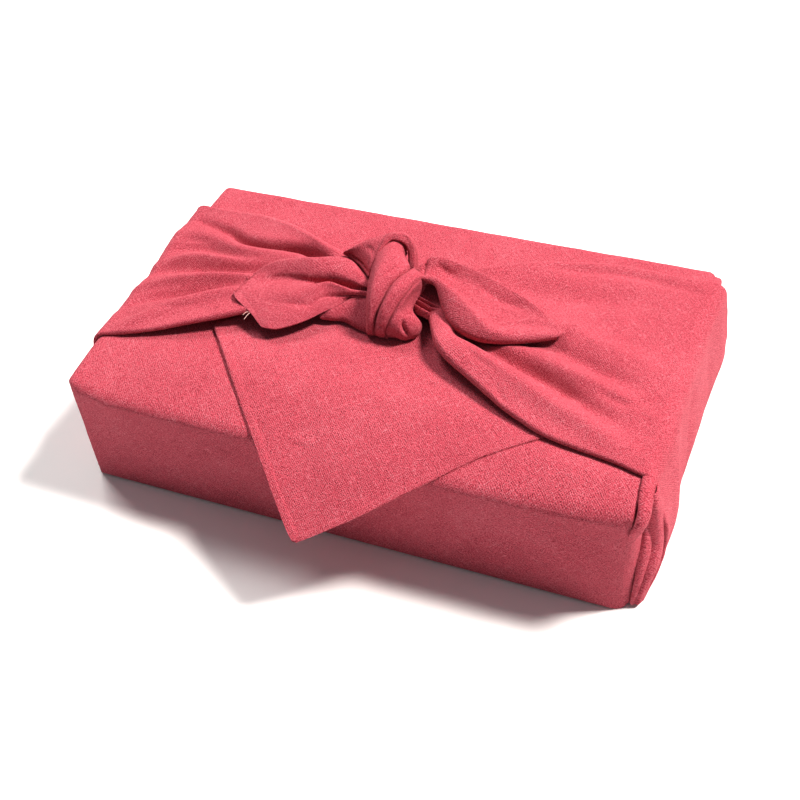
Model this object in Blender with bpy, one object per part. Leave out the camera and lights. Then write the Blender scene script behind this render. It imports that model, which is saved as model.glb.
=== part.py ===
"""A furoshiki wrap: one square cloth tied round a low rectangular parcel.

The cloth is one piece, so the part is one solid. The parcel's body is rounded where the cloth turns
its edges. The back corner of the cloth lies over the top and stands out past the front edge as a stiff
flap. The left and right corners rise up the ends, are gathered into two wings and meet in a knot, whose
two free ends lie along the wings. +X is to the right, +Y to the back and +Z up, and the origin is under
the middle of the parcel. Tables are in millimetres.
"""

import math

import bmesh
import bpy
from mathutils import Vector

MM = 0.001

# Driving sizes of the wrapped parcel, outside the cloth.
LENGTH = 270 * MM
DEPTH = 163 * MM
HEIGHT = 65 * MM
TURN_RADIUS = 4.5 * MM
FRONT_RADIUS = 13 * MM
FRONT_ROUND_HALF = 118 * MM
FOOT_RADIUS = 2 * MM
BELLY = 1.2 * MM

# The cloth.
SHEET = 1.6 * MM
FOLDED_SHEET = 2.0 * MM
SINK = 2.0 * MM
NEAR = 0.02

CLOTH_COLOUR = (0.72, 0.10, 0.13, 1.0)
CLOTH_ROUGHNESS = 0.9

# The flap: a square corner of the cloth. Each row gives a distance in front of the middle of the parcel,
# measured along the cloth, and the flap's left and right limits there. Behind the row where the wings
# start, the limits run in under the wings.
FLAP_ROWS = (
    # along, left, right
    (126.0, 0.5, 3.0),
    (124.0, -2.0, 6.5),
    (110.0, -15.0, 23.0),
    (95.0, -28.0, 38.5),
    (80.5, -40.5, 53.0),
    (70.0, -49.5, 64.5),
    (52.0, -64.5, 89.0),
    (40.0, -74.5, 78.0),
    (29.0, -84.0, 58.0),
    (12.0, -66.0, 36.0),
    (-6.0, -42.0, 22.0),
)
FLAP_LIFT_OFF = 70 * MM
FLAP_REACH = 52.6 * MM
FLAP_DROP = 28 * MM
FLAP_BEND = 1.3

# The wings, as sections across the cloth at distances up the parcel's end and along its top. Front and
# back are where the wing's edges lie, roll is the radius of the cloth rolled under at an edge, gap is
# the space under that roll, and middle is how far the cloth stands off the parcel between them.
RIGHT_WING = (
    # girth, front, back, front_roll, back_roll, front_gap, back_gap, middle
    (1.0, -74.0, 74.0, 2.4, 1.6, 0.6, 0.6, 1.8),
    (12.0, -76.0, 75.0, 3.2, 2.2, 1.2, 0.8, 2.6),
    (30.0, -77.0, 75.5, 3.6, 2.6, 1.6, 1.4, 3.0),
    (48.0, -77.0, 74.0, 3.4, 2.8, 1.6, 1.4, 3.4),
    (60.0, -74.0, 70.0, 2.8, 2.8, 1.0, 1.0, 4.4),
    (70.0, -67.0, 66.5, 2.4, 2.8, 0.8, 0.8, 4.4),
    (82.0, -62.0, 65.0, 2.6, 3.0, 1.0, 1.0, 5.2),
    (96.0, -57.5, 64.5, 3.0, 3.4, 1.4, 1.6, 6.6),
    (112.0, -53.0, 63.0, 3.4, 4.0, 2.0, 2.2, 8.2),
    (130.0, -44.0, 57.0, 4.0, 4.4, 2.6, 3.0, 9.6),
    (147.0, -32.0, 50.0, 4.4, 4.8, 3.0, 3.6, 11.4),
    (163.0, -17.0, 41.0, 4.8, 5.0, 3.2, 3.8, 13.0),
    (180.0, -6.0, 31.0, 4.6, 5.0, 3.2, 3.8, 13.5),
    (194.0, 0.0, 26.0, 4.4, 5.0, 3.0, 3.6, 13.0),
)
LEFT_WING = (
    # girth, front, back, front_roll, back_roll, front_gap, back_gap, middle
    (1.0, -74.0, 74.0, 1.4, 1.6, 0.4, 0.6, 1.2),
    (12.0, -75.0, 74.0, 1.5, 2.0, 0.4, 0.6, 1.4),
    (30.0, -73.0, 72.0, 1.5, 2.0, 0.4, 0.6, 1.6),
    (48.0, -70.0, 67.0, 1.5, 2.0, 0.4, 0.6, 1.8),
    (60.0, -66.0, 61.0, 1.6, 2.2, 0.4, 0.5, 2.2),
    (70.0, -60.0, 56.0, 1.8, 2.6, 0.5, 0.6, 3.0),
    (80.0, -54.0, 53.0, 2.2, 3.2, 0.8, 0.8, 4.2),
    (96.0, -42.5, 52.0, 2.8, 4.6, 1.6, 1.4, 5.8),
    (112.0, -33.0, 50.0, 3.2, 5.4, 2.4, 1.8, 7.2),
    (130.0, -23.0, 44.0, 3.6, 6.0, 3.0, 2.4, 8.6),
    (147.0, -12.0, 34.0, 3.8, 6.2, 3.0, 3.4, 10.4),
    (160.0, -5.0, 28.0, 4.0, 6.2, 2.6, 4.4, 12.0),
    (176.0, -10.0, 25.0, 4.2, 6.0, 2.0, 4.6, 13.0),
    (192.0, -14.0, 24.0, 4.2, 5.6, 1.8, 4.2, 12.0),
)
UNDERCUT = 9.0

# The folds of a wing: where each lies across it, from 0 at the front to 1 at the back, and its height,
# at the parcel's foot, at its top edge and at the knot, and how wide it is as a share of the wing.
RIGHT_FOLDS = (
    # across_foot, across_edge, across_knot, height_foot, height_edge, height_knot, width
    (0.18, 0.16, 0.14, 3.8, 0.8, 1.2, 0.12),
    (0.46, 0.28, 0.34, -0.8, -1.0, -1.8, 0.09),
    (0.80, 0.55, 0.60, 1.2, 0.6, 1.4, 0.13),
    (0.66, 0.80, 0.82, -0.4, -0.4, -1.4, 0.07),
)
LEFT_FOLDS = (
    # across_foot, across_edge, across_knot, height_foot, height_edge, height_knot, width
    (0.10, 0.14, 0.16, 0.4, 0.6, 1.2, 0.08),
    (0.30, 0.30, 0.32, -0.6, -0.8, -1.8, 0.06),
    (0.60, 0.46, 0.48, 1.6, 1.0, 1.8, 0.10),
    (0.80, 0.62, 0.64, 0.4, -0.8, -1.6, 0.05),
    (0.90, 0.80, 0.76, -0.6, -2.2, -4.2, 0.06),
)

# The free ends, each as rows of points from the knot outwards: x, y and height over the parcel's top,
# for the back edge, the crest, the crease, the ridge in front of it and the front edge.
LEFT_END = (
    ((-10, 12, 15), (-10, 8, 17), (-10, 3, 14), (-10, -1, 14), (-10, -4, 12)),
    ((-25, 15, 17), (-25, 10, 21), (-24, 3, 14.5), (-24, -2, 16), (-23, -6, 12)),
    ((-41, 14, 18), (-41, 9, 21.5), (-39, 1, 15), (-36, -7, 15.5), (-35, -13, 10)),
    ((-54, 10, 17), (-55, 5, 19.5), (-55, 0, 15.5), (-46, -14, 13), (-42, -24, 8)),
    ((-65, 5, 15), (-66, 1, 17), (-66, -5, 14), (-57, -17, 11.5), (-50, -30, 7.5)),
    ((-73, -4, 13), (-73, -7, 14), (-70, -13, 12.5), (-63, -20, 10.5), (-54, -30, 7.5)),
    ((-77, -17, 11.5), (-74, -19, 11.5), (-69, -22, 10.5), (-63, -25, 9.5), (-56, -30, 8)),
)
RIGHT_END = (
    ((2, 24, 17), (2, 18, 19), (2, 12, 16), (2, 6, 18), (2, 1, 13)),
    ((11, 27, 19), (12, 21, 21), (13, 14, 16), (14, 7, 20), (14, 0, 13)),
    ((22, 27, 19), (22, 21, 20.5), (23, 12, 15), (24, 3, 20.5), (23, -6, 13)),
    ((34, 26, 18), (34, 20, 18), (36, 9, 14), (38, -4, 18.5), (36, -12, 12.5)),
    ((46, 22, 16), (47, 16, 16.5), (47, 6, 14), (48, -8, 15), (48, -13, 11.5)),
    ((57, 18, 14), (58, 13, 14.5), (58, 5, 13), (59, -5, 12.5), (60, -9, 11)),
    ((67, 12, 12), (68, 9, 13), (69, 4, 12.5), (70, 0, 11.8), (71, -3, 10.5)),
    ((76, 7, 10.5), (77, 5.3, 10.8), (77.8, 3.5, 10.8), (77.4, 1.7, 10.6), (76.5, 0, 10.3)),
)

# The band that wraps over the knot, from behind it to its foot in front: the middle of each section,
# its half width and its half thickness.
BAND_ROWS = (
    # x, y, height, half_width, half_thickness
    (-11.0, 24.0, 2.0, 7.0, 4.0),
    (-14.0, 30.0, 11.0, 7.0, 4.0),
    (-14.0, 27.5, 20.0, 6.5, 3.8),
    (-11.0, 19.5, 22.5, 7.5, 4.0),
    (-7.5, 9.0, 21.0, 9.5, 4.4),
    (-4.5, 0.5, 16.5, 10.5, 5.0),
    (-2.5, -6.5, 10.5, 11.5, 5.4),
    (-1.5, -10.0, 4.0, 11.0, 4.6),
)
BAND_CREASES = (
    # place, depth, width
    (-0.4, 0.2, 0.12),
    (0.2, 0.22, 0.12),
)

# The hood: the loop of cloth that arches over the top of the band, from its open left end.
HOOD_ROWS = (
    # x, y, height, half_width, half_thickness
    (-37.0, 24.0, 15.0, 1.8, 1.6),
    (-32.0, 24.5, 16.0, 5.0, 3.0),
    (-25.0, 26.0, 18.0, 7.5, 4.0),
    (-17.0, 28.0, 20.5, 8.5, 4.6),
    (-9.5, 29.0, 20.0, 7.5, 4.4),
    (-4.0, 26.0, 15.5, 6.0, 4.0),
    (-2.0, 21.0, 9.0, 5.0, 3.6),
)

# The lobe: the loop that comes out of the knot's right side and rests at its front foot.
LOBE_ROWS = (
    # x, y, height, half_width, half_thickness
    (2.0, 12.0, 12.0, 5.0, 4.0),
    (5.5, 4.0, 13.0, 5.5, 4.5),
    (8.0, -3.0, 10.5, 6.0, 5.0),
    (8.5, -9.0, 6.5, 5.8, 4.6),
    (7.5, -12.5, 2.5, 3.4, 3.0),
)

# The knot's heart, under its loops: its middle and its radius each way.
HEART_MIDDLE = (-6.0, 11.0, 9.0)
HEART_RADII = (20.0, 18.0, 10.5)

# How finely the surfaces are divided, in faces, and the flap's curve, in steps.
FLAP_STEPS = 60
FLAP_FACES = 10
WING_FACES = 24
WING_TOP_POINTS = 12
ROLL_POINTS = 5
END_FACES = (10, 14)
STRAP_FACES = (20, 14)
HEART_FACES = (16, 10)
BODY_CUTS = (9, 5)


def smooth_row(rows, place):
    """Values at a place from 0 to 1 on a smooth curve through the rows of a table."""
    last = len(rows) - 1
    index = min(int(place * last), last - 1)
    share = place * last - index
    before = rows[max(index - 1, 0)]
    start = rows[index]
    end = rows[index + 1]
    after = rows[min(index + 2, last)]
    values = []
    for a, b, c, d in zip(before, start, end, after):
        cubic = -a + 3 * b - 3 * c + d
        square = 2 * a - 5 * b + 4 * c - d
        values.append(0.5 * (2 * b + (c - a) * share + square * share ** 2 + cubic * share ** 3))
    return values


def bump(distance, width):
    """A soft hill, 1 at its middle and near 0 two widths away."""
    return math.exp(-((distance / width) ** 2))


def new_object(name, mesh, collection):
    made = bpy.data.objects.new(name, mesh)
    collection.objects.link(made)
    return made


def mesh_from(bm, name):
    """A triangulated mesh with its faces pointing out."""
    bmesh.ops.recalc_face_normals(bm, faces=bm.faces)
    bmesh.ops.triangulate(bm, faces=bm.faces)
    mesh = bpy.data.meshes.new(name)
    bm.to_mesh(mesh)
    bm.free()
    return mesh


def grid_of(across, along, place):
    """A grid of across by along faces, each point put where place(u, v) says, u and v from 0 to 1."""
    bm = bmesh.new()
    bmesh.ops.create_grid(bm, x_segments=across, y_segments=along, size=0.5)
    for vert in bm.verts:
        u = round((vert.co.x + 0.5) * across) / across
        v = round((vert.co.y + 0.5) * along) / along
        vert.co = place(u, v)
    return bm


def loft(name, around, along, place, collection):
    """A closed solid through rings of points: u runs round a ring and v from ring to ring."""
    bm = grid_of(around, along, lambda u, v: place(u % 1.0, v))
    bmesh.ops.remove_doubles(bm, verts=bm.verts, dist=1e-6)
    bmesh.ops.holes_fill(bm, edges=[edge for edge in bm.edges if edge.is_boundary], sides=0)
    return new_object(name, mesh_from(bm, name), collection)


def sheet(name, across, along, surface, thickness, collection):
    """A closed sheet of cloth, half its thickness each side of the surface: over it, then back under."""
    count = 2 * (across + 1)

    def place(u, v):
        index = round(u * count) % count
        side = 1 if index <= across else -1
        share = (index if side > 0 else count - 1 - index) / across
        low, high = max(share - NEAR, 0.0), min(share + NEAR, 1.0)
        near, far = max(v - NEAR, 0.0), min(v + NEAR, 1.0)
        crosswise = surface(high, v) - surface(low, v)
        lengthwise = surface(share, far) - surface(share, near)
        return surface(share, v) + crosswise.cross(lengthwise).normalized() * side * thickness / 2

    return loft(name, count, along, place, collection)


def over_top(x, y, height):
    """A point given in millimetres, its height measured from the parcel's top."""
    return Vector((x * MM, y * MM, HEIGHT + height * MM))


def rounded_front(point):
    """The cloth turns the top front edge in a wider curve between the corners than at them."""
    behind = FRONT_RADIUS - (point.y + DEPTH / 2)
    below = FRONT_RADIUS - (HEIGHT - point.z)
    out = math.hypot(behind, below)
    if behind < 0 or below < 0 or out < FRONT_RADIUS:
        return point
    edge = max(abs(point.x) - FRONT_ROUND_HALF, 0.0) / (LENGTH / 2 - FRONT_ROUND_HALF)
    share = (1 - FRONT_RADIUS / out) * (1 - min(edge, 1.0))
    return point + Vector((0, behind, -below)) * share


def parcel_body(name, collection):
    """The wrapped parcel: a box with turned edges and slightly rounded faces."""
    bm = bmesh.new()
    bmesh.ops.create_cube(bm, size=1.0)
    bmesh.ops.scale(bm, vec=(LENGTH, DEPTH, HEIGHT), verts=bm.verts)
    bmesh.ops.translate(bm, vec=(0, 0, HEIGHT / 2), verts=bm.verts)

    def bevel(chosen, radius, segments):
        edges = [edge for edge in bm.edges if chosen(*(vert.co for vert in edge.verts))]
        bmesh.ops.bevel(bm, geom=edges, offset=radius, segments=segments, profile=0.5, affect="EDGES")

    bevel(lambda a, b: max(a.z, b.z) > HEIGHT - 1e-6, TURN_RADIUS, 4)
    bevel(lambda a, b: max(a.z, b.z) < 1e-6, FOOT_RADIUS, 2)

    def cut(axis, place):
        point = Vector((0, 0, 0))
        point[axis] = place
        normal = Vector((0, 0, 0))
        normal[axis] = 1
        geometry = bm.verts[:] + bm.edges[:] + bm.faces[:]
        bmesh.ops.bisect_plane(bm, geom=geometry, dist=1e-6, plane_co=point, plane_no=normal)

    for axis, size in ((0, LENGTH), (1, DEPTH)):
        for step in range(1, BODY_CUTS[axis]):
            cut(axis, size * (step / BODY_CUTS[axis] - 0.5))
    for share in (0.35, 0.65):
        cut(2, HEIGHT * share)
    for share in (0.65, 1.0):
        cut(1, FRONT_RADIUS * share - DEPTH / 2)
        cut(2, HEIGHT - FRONT_RADIUS * share)

    for vert in bm.verts:
        x, y, z = vert.co
        side = math.cos(math.pi * x / LENGTH)
        end = math.cos(math.pi * y / DEPTH)
        rise = math.sin(math.pi * z / HEIGHT)
        if abs(y) > DEPTH / 2 - 1e-5:
            vert.co.y += math.copysign(BELLY * side * rise, y)
        if abs(x) > LENGTH / 2 - 1e-5:
            vert.co.x += math.copysign(BELLY * end * rise, x)
        vert.co = rounded_front(vert.co)
    return new_object(name, mesh_from(bm, name), collection)


def flap(name, collection):
    """The back corner of the cloth, flat on the top and standing out past the front edge."""

    def place(u, v):
        index = v * (len(FLAP_ROWS) - 1)
        low = min(int(index), len(FLAP_ROWS) - 2)
        share = index - low
        row = [a * (1 - share) + b * share for a, b in zip(FLAP_ROWS[low], FLAP_ROWS[low + 1])]
        along, left, right = row
        x = left * (1 - u) + right * u
        y, drop = flap_profile(along * MM)
        return Vector((x * MM, -y, HEIGHT + SHEET * 0.4 - drop))

    return sheet(name, FLAP_FACES, 2 * (len(FLAP_ROWS) - 1), place, SHEET, collection)


def flap_profile(along):
    """How far forward and how far down the flap is at a distance measured along the cloth."""
    forward = min(along, FLAP_LIFT_OFF)
    drop = 0.0
    step = (along - forward) / FLAP_STEPS
    for _ in range(FLAP_STEPS):
        past = max(forward + step / 2 - FLAP_LIFT_OFF, 0.0) / FLAP_REACH
        slope = FLAP_DROP / FLAP_REACH * FLAP_BEND * past ** (FLAP_BEND - 1)
        length = math.hypot(1, slope)
        forward += step / length
        drop += step * slope / length
    return forward, drop


def girth_point(girth, off, end):
    """A point over the parcel's end and top: girth up from the foot, off the surface; end is 1 or -1."""
    rise = HEIGHT - TURN_RADIUS
    turn = TURN_RADIUS * math.pi / 2
    if girth <= rise:
        x, z = LENGTH / 2 + off, girth
    elif girth <= rise + turn:
        angle = (girth - rise) / TURN_RADIUS
        x = LENGTH / 2 - TURN_RADIUS + (TURN_RADIUS + off) * math.cos(angle)
        z = rise + (TURN_RADIUS + off) * math.sin(angle)
    else:
        x = LENGTH / 2 - TURN_RADIUS - (girth - rise - turn)
        z = HEIGHT + off
    return x * end, z


def fold_now(fold, girth):
    """A fold's place across the wing and its height at a girth: from foot to top edge to knot."""
    edge = HEIGHT / MM
    to_edge = min(max((girth - 0.7 * edge) / (0.5 * edge), 0.0), 1.0)
    to_knot = min(max((girth - 1.2 * edge) / (1.7 * edge), 0.0), 1.0)
    values = []
    for foot, at_edge, knot in (fold[:3], fold[3:6]):
        values.append(foot + (at_edge - foot) * to_edge + (knot - at_edge) * to_knot)
    return values


def wing_ring(row, folds):
    """The outline of a wing's section, as places across it and distances off the parcel."""
    girth, front, back, front_roll, back_roll, front_gap, back_gap, middle = row
    sink = -SINK / MM
    ring = [(front + UNDERCUT, sink), (front + UNDERCUT, front_gap)]
    half_turn = [math.pi * step / (ROLL_POINTS - 1) for step in range(ROLL_POINTS)]
    for angle in half_turn:
        ring.append((front + front_roll * (1 - math.sin(angle)), front_gap + front_roll * (1 - math.cos(angle))))
    start = front + 2 * front_roll
    end = back - 2 * back_roll
    start_height = front_gap + 2 * front_roll
    end_height = back_gap + 2 * back_roll
    for step in range(WING_TOP_POINTS):
        share = step / (WING_TOP_POINTS - 1)
        across = start + (end - start) * share
        edge = start_height * (1 - share) + end_height * share
        crown = math.sin(math.pi * share) ** 0.7
        height = edge + (middle - edge) * crown
        for fold in folds:
            centre, tall = fold_now(fold, girth)
            height += tall * bump(share - centre, fold[-1]) * crown
        ring.append((across, max(height, 1.0)))
    for angle in half_turn:
        ring.append((back - back_roll * (1 - math.sin(angle)), back_gap + back_roll * (1 + math.cos(angle))))
    ring += [(back - UNDERCUT, back_gap), (back - UNDERCUT, sink)]
    return ring


def wing(name, rows, folds, end, collection):
    """A corner of the cloth, up one end of the parcel and gathered over its top to the knot."""
    count = len(wing_ring(rows[0], folds))

    def place(u, v):
        row = smooth_row(rows, v)
        y, off = wing_ring(row, folds)[round(u * count) % count]
        x, z = girth_point(row[0] * MM, off * MM, end)
        return Vector((x, y * MM, z))

    return loft(name, count, WING_FACES, place, collection)


def free_end(name, rows, collection):
    """One of the knot's two ends: a folded strip of cloth from the knot to its tip."""

    def place(u, v):
        edges = [smooth_row([row[column] for row in rows], v) for column in range(len(rows[0]))]
        return over_top(*smooth_row(edges, u))

    return sheet(name, *END_FACES, place, FOLDED_SHEET, collection)


def strap_loft(name, rows, width_axis, creases, collection):
    """A flattened band along the rows' middles, its width lying as near width_axis as it can."""

    def place(u, v):
        x, y, height, half_width, half_thickness = smooth_row(rows, v)
        middle = over_top(x, y, height)
        ahead = over_top(*smooth_row(rows, min(v + 0.01, 1.0))[:3])
        behind = over_top(*smooth_row(rows, max(v - 0.01, 0.0))[:3])
        run = (ahead - behind).normalized()
        wide = (width_axis - run * width_axis.dot(run)).normalized()
        thick = run.cross(wide)
        angle = 2 * math.pi * u
        across = math.cos(angle)
        out = math.sin(angle)
        for crease, depth, width in creases:
            out *= 1 - depth * bump(across - crease, width)
        return middle + wide * across * half_width * MM + thick * out * half_thickness * MM

    return loft(name, *STRAP_FACES, place, collection)


def heart(name, collection):
    """The round mass of cloth inside the knot."""
    bm = bmesh.new()
    bmesh.ops.create_uvsphere(bm, u_segments=HEART_FACES[0], v_segments=HEART_FACES[1], radius=MM)
    bmesh.ops.scale(bm, vec=HEART_RADII, verts=bm.verts)
    bmesh.ops.translate(bm, vec=over_top(*HEART_MIDDLE), verts=bm.verts)
    return new_object(name, mesh_from(bm, name), collection)


def cloth_material():
    material = bpy.data.materials.new("slub cotton cloth")
    material.use_nodes = True
    shader = material.node_tree.nodes["Principled BSDF"]
    shader.inputs["Base Color"].default_value = CLOTH_COLOUR
    shader.inputs["Roughness"].default_value = CLOTH_ROUGHNESS
    shader.inputs["Metallic"].default_value = 0.0
    return material


def collection_named(name):
    made = bpy.data.collections.new(name)
    bpy.context.scene.collection.children.link(made)
    return made


def main():
    for old in list(bpy.data.objects):
        bpy.data.objects.remove(old, do_unlink=True)

    part = collection_named("furoshiki wrap")
    shapes = collection_named("folds to join")

    cloth = parcel_body("furoshiki_cloth", part)
    cloth.data.materials.append(cloth_material())

    folds = [
        flap("flap", shapes),
        wing("left wing", LEFT_WING, LEFT_FOLDS, -1, shapes),
        wing("right wing", RIGHT_WING, RIGHT_FOLDS, 1, shapes),
        heart("knot heart", shapes),
        free_end("left end", LEFT_END, shapes),
        free_end("right end", RIGHT_END, shapes),
        strap_loft("knot hood", HOOD_ROWS, Vector((0, 1, 0)), (), shapes),
        strap_loft("knot lobe", LOBE_ROWS, Vector((1, 0, 0)), (), shapes),
        strap_loft("knot band", BAND_ROWS, Vector((1, 0, 0)), BAND_CREASES, shapes),
    ]
    for fold in folds:
        fold.hide_render = True
        fold.display_type = "WIRE"
        union = cloth.modifiers.new("join " + fold.name, "BOOLEAN")
        union.operation = "UNION"
        union.object = fold
        union.solver = "EXACT"
    cloth.data.shade_smooth()


main()
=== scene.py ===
"""A furoshiki: one square of slub cotton tied round a low oblong parcel, modelled as its folds lie.

The cloth is made in pieces that meet inside its folds: the cloth round the parcel, the flap, the two gathered
wings with the ends of the parcel under them, the folds at the front corner, the knot and its free ends.
Tables are in millimetres. A height is measured from the parcel's top, and a reach is the distance from
the middle of the parcel along the cloth: over the top, round the edge and down the end.
"""

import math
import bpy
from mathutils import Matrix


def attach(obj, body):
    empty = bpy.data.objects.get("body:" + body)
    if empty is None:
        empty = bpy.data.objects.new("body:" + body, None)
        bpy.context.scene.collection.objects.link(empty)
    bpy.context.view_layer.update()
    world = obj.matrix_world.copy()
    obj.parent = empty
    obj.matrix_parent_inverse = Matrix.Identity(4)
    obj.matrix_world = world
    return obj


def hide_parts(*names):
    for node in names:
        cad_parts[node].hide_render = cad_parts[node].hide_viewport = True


bl_info = {
    "name": "Furoshiki Wrap",
    "version": (1, 0, 0),
    "blender": (4, 5, 0),
    "location": "View3D > Sidebar > Furoshiki",
    "description": "Ties a square of slub cotton round a low parcel",
    "category": "Add Mesh",
}

import bpy
import numpy as np
from bpy.props import FloatProperty, FloatVectorProperty, PointerProperty
from mathutils import Matrix, Vector, noise

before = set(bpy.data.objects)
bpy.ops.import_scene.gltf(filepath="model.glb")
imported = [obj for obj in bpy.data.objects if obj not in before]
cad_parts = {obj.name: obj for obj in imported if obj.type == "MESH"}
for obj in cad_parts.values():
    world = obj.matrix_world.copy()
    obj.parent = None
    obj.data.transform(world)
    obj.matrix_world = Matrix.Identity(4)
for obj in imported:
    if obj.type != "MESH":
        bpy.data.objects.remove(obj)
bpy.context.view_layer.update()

MM = 0.001
NODE = "furoshiki_cloth"
BODY = "root"


def linear(hex_colour):
    """An sRGB colour such as C04E5E as linear red, green and blue, with a full alpha."""
    parts = [int(hex_colour[start:start + 2], 16) / 255 for start in (0, 2, 4)]
    return (*(part / 12.92 if part <= 0.04045 else ((part + 0.055) / 1.055) ** 2.4 for part in parts), 1.0)


# Sizes and colours that a user would change.


def size_field(name, description, value):
    return FloatProperty(name=name, description=description, default=value, unit="LENGTH")


def power_field(name, description, value):
    return FloatProperty(name=name, description=description, default=value, unit="POWER")


def colour_field(name, description, value):
    return FloatVectorProperty(
        name=name, description=description, subtype="COLOR", size=4, default=linear(value)
    )


class FuroshikiParcel(bpy.types.PropertyGroup):
    """The wrapped parcel, measured outside the cloth."""

    length: size_field("Length", "From end to end", 0.270)
    depth: size_field("Depth", "From front to back", 0.163)
    height: size_field("Height", "Without the knot", 0.065)
    edge: size_field("Edge radius", "How tightly the cloth turns an edge", 0.0045)
    front_sag: size_field("Front sag", "How far the top sinks towards the front edge", 0.008)
    foot: size_field("Foot radius", "How tightly the cloth turns under", 0.002)


class FuroshikiCloth(bpy.types.PropertyGroup):
    """The cotton that the wrap is tied from."""

    thickness: size_field("Thickness", "Of one layer", 0.0008)
    thread: size_field("Thread spacing", "From one thread to the next", 0.0008)
    colour: colour_field("Colour", "Dyed cotton", "C04E5E")
    pale: colour_field("Pale threads", "Where a thread took less dye", "CF7985")
    # the deep colour also carries the painted shade between the threads, where the mounds set the tone
    deep: colour_field("Deep threads", "Between the threads", "822735")


class FuroshikiStage(bpy.types.PropertyGroup):
    """The floor, the light and the camera."""

    floor_colour: colour_field("Floor", "Colour of the floor", "F7F7F7")
    key_power: power_field("Key light", "Light above, at the right and behind", 465.0)
    second_power: power_field("Second light", "Weaker and softer light from the left", 170.0)


# The parcel's cloth: how far it is turned in at an end, how its top sinks towards the front, and its folds.
TURNED_IN = 30.0
SAG_OUTWARDS = 2.5
SAG_CURVE = 1.7
SAG_REACH = ((50, 105), (34, 18))  # at places along the parcel, how far back from the front edge it starts
SAG_SHARES = ((-135, -112, 90, 128, 135), (0.4, 1, 1, 0.75, 0.5))  # and how much of it there is
FLOOR_RADII = ((1, 12.0), (-1, 7.0))  # side and radius of the front corners where they stand on the floor
TOP_RADIUS = 4.5  # and the radius near the top of both
RADIUS_HEIGHTS = (0, 30, 58)  # heights where it is the floor's, 1 mm less than that, and the top's
BELLY = 1.2
BELLY_FADE = 3.0
FADE_ABOVE_FLOOR = 4.0
# Each fold is a width, how sharp it is (2 soft, 1 sharp) and a path of (round, along, height): round is the
# distance forward from the middle of the top and down the front, and a height below 0 is a hollow.
PARCEL_FOLDS = (
    (9, 2, ((-60, -120, 0), (-62, -60, 0.5), (-64, 10, 0.3), (-62, 80, 0))),
    (7, 2, ((95, -120, 0), (110, -95, -0.5), (128, -70, 0))),
    (8, 2, ((92, -70, 0), (108, -48, 0.5), (130, -30, 0))),
    (7, 2, ((98, 62, 0), (112, 80, -0.5), (132, 96, 0))),
    (9, 2, ((96, 96, 0), (112, 112, 0.5), (135, 124, 0))),
    (4, 2, ((76, 128, 0), (90, 120, -0.4), (104, 104, 0))),
    (1.7, 2, ((72, 134, 0), (77, 135, -2.5), (82, 136, -3), (87, 136, 0))),
    (1.5, 2, ((-73, 131.2, 0), (-77, 131.8, -2.4), (-80.5, 132.4, -3.8), (-84, 132.8, 0))),
)

# The flap: along is the distance in front of the middle of the parcel, measured on the cloth.
FLAP_ROWS = (
    # along, left, right
    (125, -2.6, -0.8),
    (123, -5, 2.4),
    (110, -16, 20),
    (95, -28.4, 37),
    (80.5, -40.5, 53),
    (70, -49.5, 64),
    (52, -64.5, 89),
    (40, -74.5, 80),
    (29, -84, 60),
    (12, -66, 36),
    (-6, -42, 22),
)
# It lies on the top up to where it lifts off, then bends down by the drop over the reach.
FLAP_LIFT_OFF = 48.0
FLAP_REACH = 74.6
FLAP_DROP = 28.0
FLAP_BEND = 1.6
FLAP_CLEARANCE = 0.3
FLAP_SLANT = 0.75  # the share of a distance across that is the distance from a slanting side
FLAP_FOLD_SHARES = ((63, 80), (0.15, 1))  # its folds are pressed nearly flat under the wings
HEM_WIDTH = 3.0
HEM_HEIGHT = 0.35
HEM_EDGE = 0.8  # over which its height falls off
FLAP_FOLDS = (
    # across and along, as on the cloth
    (9, 2, ((-20, 60, 0), (-14, 80, -0.7), (-6, 100, -0.5), (0, 118, 0))),
    (10, 2, ((40, 62, 0), (26, 82, 0.8), (12, 104, 0.5), (4, 122, 0))),
    (8, 2, ((-70, 34, 0), (-40, 44, -0.6), (0, 48, 0))),
)

# The wings, as sections across the cloth at distances up the parcel's end and along its top. Front and
# back are where the edges lie, roll is the radius of the cloth folded under at an edge, gap is the space
# under that fold, and middle is how far the cloth stands off the parcel between them.
RIGHT_WING = (
    # girth, front, back, front_roll, back_roll, front_gap, back_gap, middle
    (0.5, -73, 73, 0.9, 1.2, 1.6, 0.4, 2.6),
    (10, -67, 75, 1, 1.5, 4.2, 0.8, 4.2),
    (20, -62.5, 75.5, 1.1, 1.8, 6, 1.4, 5.2),
    (30, -61, 75.5, 1.1, 2.2, 6.6, 1.8, 5.6),
    (40, -63, 74.5, 1.2, 2.2, 6.4, 1.2, 4.4),
    (50, -63.5, 73.5, 1.2, 2, 3.4, 1, 3.6),
    (59, -63.5, 71, 1.2, 1.7, 1, 0.9, 3),
    (68, -62, 66.5, 1.2, 1.6, 0.2, 1.5, 3.2),
    (80, -59, 64.5, 1.3, 1.8, 0.3, 1.8, 4.4),
    (96, -56.5, 64.5, 1.5, 2.2, 0.4, 2.2, 6),
    (112, -53.5, 63, 1.7, 3, 0.9, 2.2, 7.4),
    (130, -46.5, 57, 2.1, 3.6, 2.3, 3, 8.8),
    (147, -37, 50, 2.4, 4.2, 4.2, 3.6, 10.8),
    (163, -27.5, 41, 2.6, 4.6, 5.4, 3.8, 11.8),
    (172, -20, 36, 2.8, 4.6, 6, 3.6, 11.6),
    (178, -10, 32, 2.6, 4.6, 5, 3.6, 11),
    (184, 0, 29.5, 2.4, 4.6, 4, 3.6, 11),
    (194, 5, 26, 2.4, 4.6, 4, 3.4, 11),
)
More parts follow.
